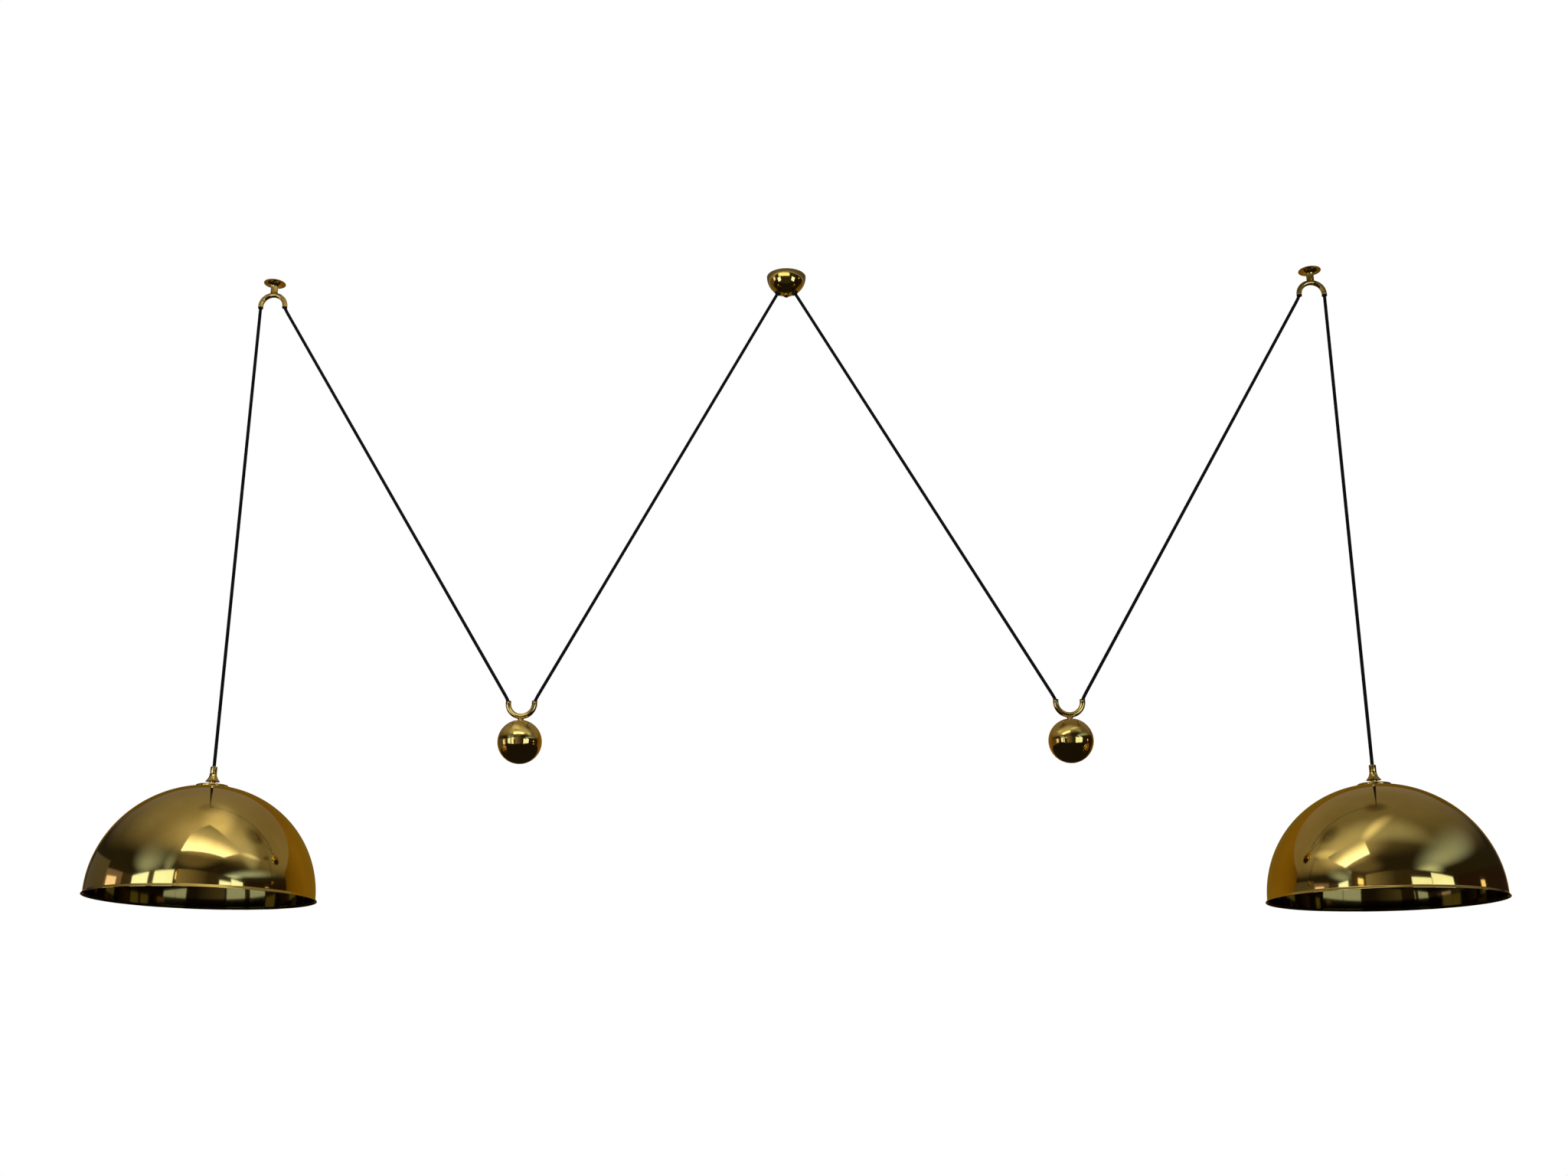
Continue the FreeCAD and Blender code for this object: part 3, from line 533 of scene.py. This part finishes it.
def straight_blend(piece):
    """A taut cord stays straight between its two bodies; the piece's placement is baked into its mesh."""
    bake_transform(piece)


def free_cord(name, points):
    """One free stretch of cord between two bodies, from its exit to where it goes in again."""
    line = smooth_line(name, points)
    piece = braided(name + "_braid", line)
    straight_blend(piece)
    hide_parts(name)


def canopy_exit(side):
    """Where a cord leaves the cup, and its way to the counterweight's inner mouth."""
    sign = SIDES[side]
    mouth = Vector((sign * CANOPY_EXIT_X, 0, -math.sqrt(CANOPY_R**2 - CANOPY_EXIT_X**2)))
    target = Vector((sign * (BALL_X[side] - TUBE_BEND), 0, WEIGHT_MOUTH_Z))
    return mouth, (target - mouth).normalized()


def cords(side):
    """The three free stretches and the stretches inside the tubes, the canopy and the shade."""
    sign, ball_x = SIDES[side], BALL_X[side]
    near_mouth = 36.0
    mouth, _ = canopy_exit(side)
    weight_near = Vector((sign * (ball_x - TUBE_BEND), 0, WEIGHT_MOUTH_Z))
    weight_far = Vector((sign * (ball_x + TUBE_BEND), 0, WEIGHT_MOUTH_Z))
    hook_near = Vector((sign * (HOOK_X - TUBE_BEND), 0, HOOK_MOUTH_Z))
    entry = UP * CORD_ENTRY

    def towards(a, b):
        return a + (b - a).normalized() * near_mouth

    inner = [mouth, towards(mouth, weight_near), towards(weight_near, mouth), weight_near,
             weight_near - entry]
    outer = [weight_far - entry, weight_far, towards(weight_far, hook_near),
             towards(hook_near, weight_far), hook_near, hook_near + entry]
    top, bottom = Vector((sign * SHADE_X, 0, HOOK_MOUTH_Z)), Vector((sign * SHADE_X, 0, GRIP_TOP_Z))
    drop = [top, towards(top, bottom), towards(bottom, top), bottom]
    weight = side + "_weight"
    free_cord(side + "_inner_cord", inner)
    free_cord(side + "_outer_cord", outer[::-1])
    free_cord(side + "_drop_cord", drop)

    slanted_tail = MOUTH_REACH - CORD_ENTRY - CORD_JOINT
    for name, x, z, way, tails, body in (
            ("hook_cord", sign * HOOK_X, HOOK_BEND_Z, 1, (MOUTH_REACH, slanted_tail)[::-sign], "root"),
            ("weight_cord", sign * ball_x, WEIGHT_BEND_Z, -1, (slanted_tail, slanted_tail), weight)):
        line = [centre * MM for centre, _ in bend_line(x, z, way, tails, 0.5)]
        piece = braided(f"{side}_{name}_braid", line)
        ride_for(piece, body, "black_textile", f"{side}_{name}")
    end = braided(side + "_shade_cord_end_braid", [bottom * MM, Vector((bottom.x, 0, CORD_END_Z)) * MM])
    ride_for(end, side + "_shade", "black_textile", side + "_shade_cord_end")


for side in SIDES:
    cords(side)

# the two ends inside the canopy are one node
ends = []
for side in SIDES:
    mouth, way = canopy_exit(side)
    ends.append(braided(side + "_end", [(mouth - way * CORD_END_DEPTH) * MM, mouth * MM]))
ride_for(joined("canopy_cord_ends_braid", ends), "root", "black_textile", "canopy_cord_ends")


# ---- turned and spun brass ---------------------------------------------------------------------------
def drilled(piece, *holes):
    """Round holes through a piece; a hole is (radius, from, to) in millimetres."""
    for radius, start, end in holes:
        way = end - start
        cutter = bmesh.new()
        bmesh.ops.create_cone(cutter, cap_ends=True, segments=48, radius1=radius * MM,
                              radius2=radius * MM, depth=way.length * MM,
                              matrix=Matrix.Translation((start + end) / 2 * MM)
                              @ way.to_track_quat("Z", "Y").to_matrix().to_4x4())
        mesh = bpy.data.meshes.new("drill")
        cutter.to_mesh(mesh)
        cutter.free()
        drill = bpy.data.objects.new("drill", mesh)
        bpy.context.scene.collection.objects.link(drill)
        cut = piece.modifiers.new("drill", "BOOLEAN")
        cut.object, cut.operation, cut.solver = drill, "DIFFERENCE", "EXACT"
        bpy.context.view_layer.update()
        done = bpy.data.meshes.new_from_object(piece.evaluated_get(bpy.context.evaluated_depsgraph_get()))
        piece.modifiers.clear()
        piece.data = done
        bpy.data.objects.remove(drill)
        bpy.data.meshes.remove(mesh)
    piece.data.set_sharp_from_angle(angle=math.radians(40))


def canopy():
    """The spun cup with its two cord holes, and the small domed nut under it."""
    def ball(radius, r):
        return (r, -math.sqrt(radius**2 - r**2))

    inner = CANOPY_R - CANOPY_WALL
    cup = spun("canopy_cup_brass", 0, profile(
        (CANOPY_R, 0), (ball(CANOPY_R, CANOPY_R * 0.7), ball(CANOPY_R, STUD_HOLE_R)),
        ball(inner, STUD_HOLE_R), (ball(inner, inner * 0.7), (inner, 0)), step=0.8), 160)
    holes = []
    for side in SIDES:
        mouth, way = canopy_exit(side)
        holes.append((EXIT_HOLE_R, mouth - way * 12.5, mouth + way * 3))      # well past both faces
    drilled(cup, *holes)
    ride_for(cup, "root", "polished_brass", "canopy_cup")
    nut_r, top, skirt, foot, tip = 6.0, -38.05, -40.25, -43.75, -42.1
    nut = spun("canopy_cap_nut_brass", 0, profile(
        (STUD_HOLE_R, top), (nut_r, top), (nut_r, skirt), ((3.47, -42.81), (0, foot)), (0, tip),
        (STUD_HOLE_R, tip), step=0.3, ease=0.25), 64)
    ride_for(nut, "root", "polished_brass", "canopy_cap_nut")


def hook(side):
    """The flared rosette with its neck, and the arch of tube under it."""
    x = SIDES[side] * HOOK_X
    rim_r, rim_h, recess_r, neck_r, bore, foot = 21.0, 1.2, 17.0, 7.0, 5.1, -HOOK_DROP + 0.05
    rosette = spun(side + "_hook_rosette_brass", x, profile(
        (recess_r, 0), (rim_r, 0), (rim_r, -rim_h), ((10.5, -4.2), (neck_r, -9.5)), (neck_r, foot),
        (bore, foot), (bore, -6.0), step=0.5, ease=0.3), 96)
    ride_for(rosette, "root", "polished_brass", side + "_hook_rosette")
    bent_tube(side + "_hook_tube", x, HOOK_BEND_Z, 1, "root")


def counterweight(side):
    """The turned ball and the U of tube over it."""
    x = SIDES[side] * BALL_X[side]
    hole_z = BALL_Z + math.sqrt(BALL_R**2 - BALL_HOLE_R**2)
    low = BALL_Z - BALL_R
    bottom = BALL_Z + BALL_R - BALL_HOLE_DEPTH
    ball = spun(side + "_weight_ball_brass", x, profile(
        (BALL_HOLE_R, hole_z), ((BALL_R, BALL_Z), (0, low)), (0, bottom),
        (BALL_HOLE_R, bottom), step=1.2, ease=0.2), 160)
    ride_for(ball, side + "_weight", "polished_brass", side + "_weight_ball")
    bent_tube(side + "_weight_tube", x, WEIGHT_BEND_Z, -1, side + "_weight")


def shade(side):
    """The spun dome, the flat disc on its crown and the trumpet-shaped cord grip."""
    x, body = SIDES[side] * SHADE_X, side + "_shade"
    inside = DOME_R - DOME_WALL
    diagonal = math.radians(50)

    def on_arc(r):
        return (r * math.cos(diagonal), DOME_CENTRE_Z + r * math.sin(diagonal))

    def crown(r):
        return (NIPPLE_HOLE_R, DOME_CENTRE_Z + math.sqrt(r**2 - NIPPLE_HOLE_R**2))

    dome = spun(side + "_shade_dome_brass", x, profile(
        crown(DOME_R), (on_arc(DOME_R), (DOME_R, DOME_CENTRE_Z)), (LIP_R, RIM_Z + LIP_EDGE),
        (LIP_R, RIM_Z), (LIP_R - DOME_WALL, RIM_Z), (LIP_R - DOME_WALL, RIM_Z + LIP_EDGE - LIP_STEP),
        (inside, DOME_CENTRE_Z - LIP_STEP), (inside, DOME_CENTRE_Z), (on_arc(inside), crown(inside)),
        step=2.6, ease=0.6), 240, sharp=60)
    ride_for(dome, body, "polished_brass", side + "_shade_dome")

    def on_dome(r):
        return (r, DOME_CENTRE_Z + math.sqrt((DOME_R + 0.05)**2 - r**2))

    top, rounding = DISC_Z + DISC_H, DISC_EDGE_R * (1 - math.sqrt(0.5))
    disc = spun(side + "_shade_top_disc_brass", x, profile(
        on_dome(NIPPLE_HOLE_R), (on_dome(DISC_R / 2), on_dome(DISC_R)), (DISC_R, top - DISC_EDGE_R),
        ((DISC_R - rounding, top - rounding), (DISC_R - DISC_EDGE_R, top)), (NIPPLE_HOLE_R, top),
        step=0.5, ease=0.2), 128)
    ride_for(disc, body, "polished_brass", side + "_shade_top_disc")

    bell_z, shoulder, lip, throat, neck = GRIP_Z + 6.0, 1.6, 0.9, 7.0, 9.0
    inset = shoulder * (1 - math.sqrt(0.5))
    bore = CORD_R + 0.3
    grip = spun(side + "_cord_grip_brass", x, profile(
        (bore, GRIP_TOP_Z), (GRIP_TOP_R - shoulder, GRIP_TOP_Z),
        ((GRIP_TOP_R - inset, GRIP_TOP_Z - inset), (GRIP_TOP_R, GRIP_TOP_Z - shoulder)),
        (GRIP_TOP_R, GRIP_TOP_Z - shoulder - neck), ((7.9, GRIP_Z + 6.9), (GRIP_LIP_R, GRIP_Z)),
        (GRIP_LIP_R - lip, GRIP_Z), (NIPPLE_HOLE_R + lip, bell_z), (NIPPLE_HOLE_R, bell_z),
        (NIPPLE_HOLE_R, bell_z + throat), (bore, bell_z + throat), step=0.4, ease=0.2), 80)
    screw, screw_hole_r = Vector((x, 0, GRIP_TOP_Z - 6.5)), 1.6
    drilled(grip, (screw_hole_r, screw + BACK * 3.05, screw + BACK * 8))
    ride_for(grip, body, "polished_brass", side + "_cord_grip")


def leads():
    """The four insulated conductors from the cords' ends up into the terminal block."""
    block_bottom, pole_y, pole_step, core_y, lead_r, pieces = -16.0, 12.2, 5.0, 1.35, 0.9 * MM, []
    for side, sign in SIDES.items():
        mouth, way = canopy_exit(side)
        end = mouth - way * CORD_END_DEPTH
        for n, y in ((0, core_y), (1, -core_y)):
            pole_x = sign * pole_step * (1 + n)
            start = end + BACK * y
            line = smooth_line("lead", [
                start, start - way * 2.5, Vector((pole_x, pole_y, block_bottom - 4.3)),
                Vector((pole_x, pole_y, block_bottom + 5.9))])
            across, rings = BACK, []
            for centre, tangent in evenly(line, 0.4 * MM):
                across = (across - tangent * across.dot(tangent)).normalized()
                rings.append((centre, lead_r, across, tangent.cross(across)))
            rings = [(rings[0][0], 0.0, *rings[0][2:]), *rings, (rings[-1][0], 0.0, *rings[-1][2:])]
            pieces.append(made_mesh("lead", rings, 16, PVC[n]))
    return joined("canopy_leads_pvc", pieces)


for side in SIDES:
    hook(side)
    counterweight(side)
    shade(side)
canopy()
ride_for(leads(), "root", "lead_insulation", "canopy_leads")

# the model's own solids that show keep their shape and take their real finish
FINISHES = {"polished_brass": FITTING, "black_plastic": BUSH, "white_nylon": STOP,
            "zinc_plated_steel": ZINC, "porcelain": PORCELAIN, "bulb_cap_metal": CAP, "opal_glass": OPAL}
for node in NODES.values():
    for place in node.material_slots:
        if place.material.name in FINISHES:
            place.material = FINISHES[place.material.name]


# ---- studio ------------------------------------------------------------------------------------------
def screen(name, corners, shade_nodes, one_sided=False):
    """A card that the brass mirrors and nothing else sees. A one-sided card isn't there when looked
    at from behind."""
    mesh = bpy.data.meshes.new(name)
    mesh.from_pydata(corners, [], [tuple(range(len(corners)))])
    card = bpy.data.objects.new(name, mesh)
    bpy.context.scene.collection.objects.link(card)
    made = bpy.data.materials.new(name)
    made.use_nodes = True
    tree = made.node_tree
    tree.nodes.clear()
    glow = add(tree, "ShaderNodeEmission")
    shade_nodes(tree, glow)
    surface = glow.outputs[0]
    if one_sided:
        behind = add(tree, "ShaderNodeNewGeometry").outputs["Backfacing"]
        surface = add(tree, "ShaderNodeMixShader", i0=behind, i1=surface,
                      i2=add(tree, "ShaderNodeBsdfTransparent").outputs[0]).outputs[0]
    add(tree, "ShaderNodeOutputMaterial", i0=surface)
    made.cycles.emission_sampling = "NONE"
    mesh.materials.append(made)
    for ray in ("camera", "diffuse", "shadow", "transmission", "volume_scatter"):
        setattr(card, "visible_" + ray, False)


def plain(colour, strength=1.0):
    """One even tone, as a linear colour."""
    def shade_nodes(tree, glow):
        glow.inputs["Color"].default_value = (*colour, 1.0)
        glow.inputs["Strength"].default_value = strength
    return shade_nodes


def upright(x0, x1, y, z0, z1):
    """Corners of a card that stands across the view."""
    return [(x0, y, z0), (x1, y, z0), (x1, y, z1), (x0, y, z1)]


def pool(tree, place, centre, half, turn, edge, colour):
    """A soft pool of light on the ceiling: an ellipse, full inside edge and gone at its rim."""
    inside = add(tree, "ShaderNodeMapping", {"vector_type": "TEXTURE"}, Vector=place, Location=(*centre, 0),
                 Rotation=(0, 0, turn), Scale=(*half, 1)).outputs[0]
    away = add(tree, "ShaderNodeVectorMath", {"operation": "LENGTH"}, i0=inside).outputs["Value"]
    share = add(tree, "ShaderNodeMapRange", {"interpolation_type": "SMOOTHSTEP"}, i0=away, From_Min=1.0,
                From_Max=edge).outputs[0]
    lit = add(tree, "ShaderNodeVectorMath", {"operation": "SCALE"}, i0=colour)
    tree.links.new(share, lit.inputs["Scale"])
    return lit.outputs[0]


def ceiling_light(tree, glow):
    """A dim ceiling with soft pools of warm light and of daylight on it."""
    place = add(tree, "ShaderNodeSeparateXYZ", i0=add(tree, "ShaderNodeTexCoord").outputs["Object"])
    place = add(tree, "ShaderNodeCombineXYZ", X=place.outputs["X"], Y=place.outputs["Y"]).outputs[0]
    total = (0.02, 0.018, 0.014)
    for spot in CEILING_POOLS:
        total = add(tree, "ShaderNodeVectorMath", i0=total, i1=pool(tree, place, *spot)).outputs[0]
    tree.links.new(total, glow.inputs["Color"])


def graded(axis, *stops):
    """A tone that changes along an axis; a stop is (place in metres, linear colour)."""
    def shade_nodes(tree, glow):
        place = add(tree, "ShaderNodeSeparateXYZ", i0=add(tree, "ShaderNodeTexCoord").outputs["Object"])
        low, high = stops[0][0], stops[-1][0]
        share = add(tree, "ShaderNodeMapRange", i0=place.outputs[axis], From_Min=low,
                    From_Max=high).outputs[0]
        node = add(tree, "ShaderNodeValToRGB", i0=share)
        while len(node.color_ramp.elements) < len(stops):
            node.color_ramp.elements.new(0.5)
        for element, (at, colour) in zip(node.color_ramp.elements, stops):
            element.position, element.color = (at - low) / (high - low), (*colour, 1)
        tree.links.new(node.outputs["Color"], glow.inputs["Color"])
    return shade_nodes


# A mirror of brass looks like what stands round it, so cards make a plain room: a ceiling, walls and
# bright openings. The ceiling's pools of light are (centre, half sizes, turn, edge, colour).
CEILING_POOLS = (
    ((0.0, 0.9), (3.9, 3.1), 0.0, 0.4, (0.17, 0.158, 0.13)),
    ((0.0, 1.3), (3.0, 1.4), 0.0, 0.3, (0.04, 0.02, 0.0)),
    ((-1.3, -0.6), (1.9, 1.5), 0.0, 0.2, (0.11, 0.105, 0.1)),
    ((-0.6, -2.1), (1.1, 1.4), 0.0, 0.3, (0.12, 0.11, 0.10)),
    ((-0.45, -0.95), (1.6, 1.05), 0.12, 0.25, (0.34, 0.35, 0.37)),
    ((-0.72, -0.35), (0.35, 0.7), 0.4, 0.2, (0.35, 0.35, 0.35)),
    ((0.72, -0.62), (0.62, 0.17), 0.6, 0.0, (0.6, 0.62, 0.66)),
    ((-2.8, -2.4), (2.1, 1.1), 0.85, 0.1, (0.3, 0.4, 0.6)),
    ((-1.75, -2.8), (1.5, 0.35), 1.25, 0.1, (0.22, 0.3, 0.45)),
    ((1.0, -0.75), (1.3, 0.5), -0.3, 0.1, (0.2, 0.24, 0.3)),
    ((2.6, -1.7), (1.1, 2.6), -0.2, 0.05, (0.36, 0.5, 0.8)),
    ((2.7, -3.3), (1.1, 1.2), 0.0, 0.1, (0.5, 0.7, 1.1)),
    # round the canopy and the hooks the ceiling is in their shade
    ((0.0, -0.05), (0.4, 0.32), 0.0, 0.3, (-0.12, -0.115, -0.1)),
    ((-HOOK_X * MM, -0.03), (0.22, 0.2), 0.0, 0.2, (-0.1, -0.1, -0.09)),
    ((HOOK_X * MM, -0.03), (0.22, 0.2), 0.0, 0.2, (-0.1, -0.1, -0.09)),
)
FLOOR_Z, CEILING_Z = -2.2, 0.02
WALL_Y, WARM_Y, BACK_Y, SIDE_X = -3.4, 1.2, 6, 5.2
DAYLIGHT = (0.5, 0.66, 1.0)
WINDOWS = ((-5.1, -3.2, -0.05), (-2.75, -1.35, -0.05), (1.46, 2.66, -0.42), (2.7, 4.8, -0.1))   # x, x, top


def side_wall(x, y0, y1, z0, z1):
    """Corners of a card that stands at the side."""
    return [(x, y0, z0), (x, y1, z0), (x, y1, z1), (x, y0, z1)]


screen("card_ceiling", [(-SIDE_X, WALL_Y, CEILING_Z), (-SIDE_X, BACK_Y, CEILING_Z),
                        (SIDE_X, BACK_Y, CEILING_Z), (SIDE_X, WALL_Y, CEILING_Z)], ceiling_light)
screen("card_ceiling_patch", [(-1.2, -1.62, 0.015), (0.2, -1.45, 0.015), (0.42, -0.8, 0.015),
                              (-0.3, -0.68, 0.015), (-0.82, -0.5, 0.015), (-1.04, -0.8, 0.015)],
       graded("Y", (-1.62, (2.9, 3.1, 4.3)), (-1.25, (2.2, 2.4, 3.0)), (-0.85, (0.6, 0.62, 0.66)),
              (-0.5, (0.24, 0.24, 0.22))))
screen("card_wall", upright(-SIDE_X, SIDE_X, WALL_Y, FLOOR_Z, CEILING_Z),
       graded("X", (-3.2, (0.06, 0.055, 0.045)), (-1.2, (0.24, 0.22, 0.18)), (0.6, (0.04, 0.034, 0.024)),
              (SIDE_X, (0.015, 0.013, 0.01))))
screen("card_left", side_wall(-SIDE_X, WALL_Y, BACK_Y, FLOOR_Z, CEILING_Z), plain((0.05, 0.04, 0.033)))
screen("card_left_panel", side_wall(-4.3, -0.2, 2.8, -1.9, 0.0), plain((0.09, 0.085, 0.075)))
screen("card_left_window", side_wall(-5.1, -1.5, -0.4, -1.9, -0.35), plain((0.9, 0.8, 1.1), 1.4))
screen("card_left_glow", side_wall(-5.15, -2.1, -0.1, -1.9, -0.02), plain((0.2, 0.16, 0.19)))
screen("card_right", side_wall(SIDE_X, WALL_Y, BACK_Y, FLOOR_Z, CEILING_Z), plain((0.02, 0.012, 0.01)))
screen("card_right_lamp", side_wall(SIDE_X - 0.02, -0.66, -0.22, -1.0, -0.47), plain((1.0, 0.9, 0.75), 1.3))
screen("card_rear", upright(-SIDE_X, SIDE_X, BACK_Y, FLOOR_Z, CEILING_Z), plain((0.06, 0.04, 0.02)))
screen("card_warm", upright(-2.3, 2.2, WARM_Y, -1.25, -0.02),
       graded("X", (-2.3, (0.12, 0.07, 0.006)), (0.0, (0.24, 0.145, 0.014)), (2.2, (0.11, 0.065, 0.005))))
screen("card_floor", [(-SIDE_X, WALL_Y, FLOOR_Z + 0.01), (SIDE_X, WALL_Y, FLOOR_Z + 0.01),
                      (SIDE_X, BACK_Y, FLOOR_Z + 0.01), (-SIDE_X, BACK_Y, FLOOR_Z + 0.01)],
       plain((0.012, 0.01, 0.008)))
# the reveal hides one window card from the right shade
screen("card_reveal", side_wall(-1.3, WALL_Y, -2.1, FLOOR_Z, 0.0), plain((0.05, 0.04, 0.025)))
screen("card_reveal_lamp", side_wall(-1.29, -3.1, -2.6, -0.72, -0.35), plain((1.0, 0.85, 0.6), 1.7))
for i, (x0, x1, z1) in enumerate(WINDOWS):
    screen(f"card_window_{i}", upright(x0, x1, WALL_Y + 0.02, FLOOR_Z, z1), plain(DAYLIGHT, 2.6))


def by_canopy(*corners):
    """Corners of a small card that hangs before the canopy, from where it appears there: its
    azimuth from the camera's side and its height, in degrees. It turns its back to the shades."""
    facing, away = Vector((0, 0.8, 0.6)), -0.404
    places = []
    for azimuth, height in corners:
        a, h = math.radians(azimuth), math.radians(height)
        look = Vector((math.sin(a) * math.cos(h), -math.cos(a) * math.cos(h), math.sin(h)))
        places.append(tuple(look * (away / look.dot(facing))))
    return places


# These cards paint the canopy's reflections: the flag a dark reflection, the cards before it its bright
# highlights. They turn their backs to the shades.
screen("card_canopy_flag", by_canopy((-60, -42), (-60, 2), (60, 2), (60, -42)),
       plain((0.035, 0.03, 0.02)), True)
CANOPY_LIGHTS = (         # cards between the flag and the canopy: their tone and their corners
    ((1.6, 1.6, 1.2), ((-46, -13), (-44, 2), (18, -1), (20, -18))),
    ((1.5, 2.0, 3.0), ((-60, -40), (-56, -20), (-36, -18), (-37, -38))),
    ((1.5, 2.0, 3.0), ((37, -38), (36, -18), (57, -20), (60, -40))),
)
for i, (tone, corners) in enumerate(CANOPY_LIGHTS):
    nearer = [tuple(0.97 * c for c in place) for place in by_canopy(*corners)]
    screen(f"card_canopy_{i}", nearer, plain(tone), True)

FLOOR_R, FLOOR_SIDES = 6.0, 96       # ends before the main view would see it
floor_mesh = bpy.data.meshes.new("floor")
around = [2 * math.pi * i / FLOOR_SIDES for i in range(FLOOR_SIDES)]
floor_mesh.from_pydata([(FLOOR_R * math.cos(a), FLOOR_R * math.sin(a), FLOOR_Z) for a in around], [],
                       [tuple(range(FLOOR_SIDES))])
floor = bpy.data.objects.new("floor", floor_mesh)
bpy.context.scene.collection.objects.link(floor)
PAPER, paper_tree, paper = material("white_paper", Roughness=0.9)
paper.inputs["Base Color"].default_value = linear("#FBFBFA")
# seen from below, the floor isn't there, so that the insides of the shades can be looked at
below = add(paper_tree, "ShaderNodeNewGeometry").outputs["Backfacing"]
sheet = add(paper_tree, "ShaderNodeMixShader", i0=below, i1=paper.outputs[0],
            i2=add(paper_tree, "ShaderNodeBsdfTransparent").outputs[0])
paper_tree.links.new(sheet.outputs[0], paper_tree.nodes["Material Output"].inputs["Surface"])
floor_mesh.materials.append(PAPER)

world = bpy.data.worlds.new("studio")
bpy.context.scene.world = world
world.use_nodes = True
sky = world.node_tree
sky.nodes.clear()
rays = add(sky, "ShaderNodeLightPath").outputs


def either(first, second):
    return add(sky, "ShaderNodeMath", {"operation": "MAXIMUM"}, i0=first, i1=second).outputs[0]


seen = either(either(rays["Is Camera Ray"], rays["Is Glossy Ray"]), rays["Is Transmission Ray"])
soft = add(sky, "ShaderNodeBackground", Color=linear("#FFFFFF"), Strength=0.85)
white = add(sky, "ShaderNodeBackground", Color=linear("#FFFFFF"), Strength=1.0)
mixed = add(sky, "ShaderNodeMixShader", i0=seen, i1=soft.outputs[0], i2=white.outputs[0])
add(sky, "ShaderNodeOutputWorld", i0=mixed.outputs[0])


def softbox(name, place, aim, size, power):
    """A large soft lamp; the cards above stand for it in the brass."""
    data = bpy.data.lights.new(name, "AREA")
    data.shape, data.size, data.energy = "DISK", size, power
    lamp = bpy.data.objects.new(name, data)
    bpy.context.scene.collection.objects.link(lamp)
    lamp.location = place
    lamp.rotation_euler = (Vector(aim) - Vector(place)).to_track_quat("-Z", "Y").to_euler()
    lamp.visible_glossy = False
    lamp.visible_camera = False


softbox("key", (-2.4, -3.2, 0.6), (0, 0, -0.8), 1.6, 60)
softbox("fill", (3.0, -2.6, -0.8), (0, 0, -0.8), 1.4, 25)

# ---- camera: the photograph's own view ------------------------------------------------------------
CAMERA_PLACE = Vector((68.7, -2942.4, -1514.7)) * MM
YAW, PITCH, ROLL = 0.0382, 0.2918, 0.0054
SENSOR_MM, FOCAL_MM = 36.0, 38.069
SHIFT = (0.0138, -0.002)
forward = Vector((-math.sin(YAW) * math.cos(PITCH), math.cos(YAW) * math.cos(PITCH), math.sin(PITCH)))
level = Vector((math.cos(YAW), math.sin(YAW), 0))
lifted = level.cross(forward)
right = level * math.cos(ROLL) + lifted * math.sin(ROLL)
top = lifted * math.cos(ROLL) - level * math.sin(ROLL)
lens = bpy.data.cameras.new("camera")
lens.sensor_width, lens.lens = SENSOR_MM, FOCAL_MM
lens.shift_x, lens.shift_y = SHIFT
lens.clip_end = 100.0
camera = bpy.data.objects.new("camera", lens)
bpy.context.scene.collection.objects.link(camera)
camera.matrix_world = Matrix.Translation(CAMERA_PLACE) @ Matrix((right, top, -forward)).transposed().to_4x4()
bpy.context.scene.camera = camera

bpy.context.scene.view_settings.view_transform = "Standard"
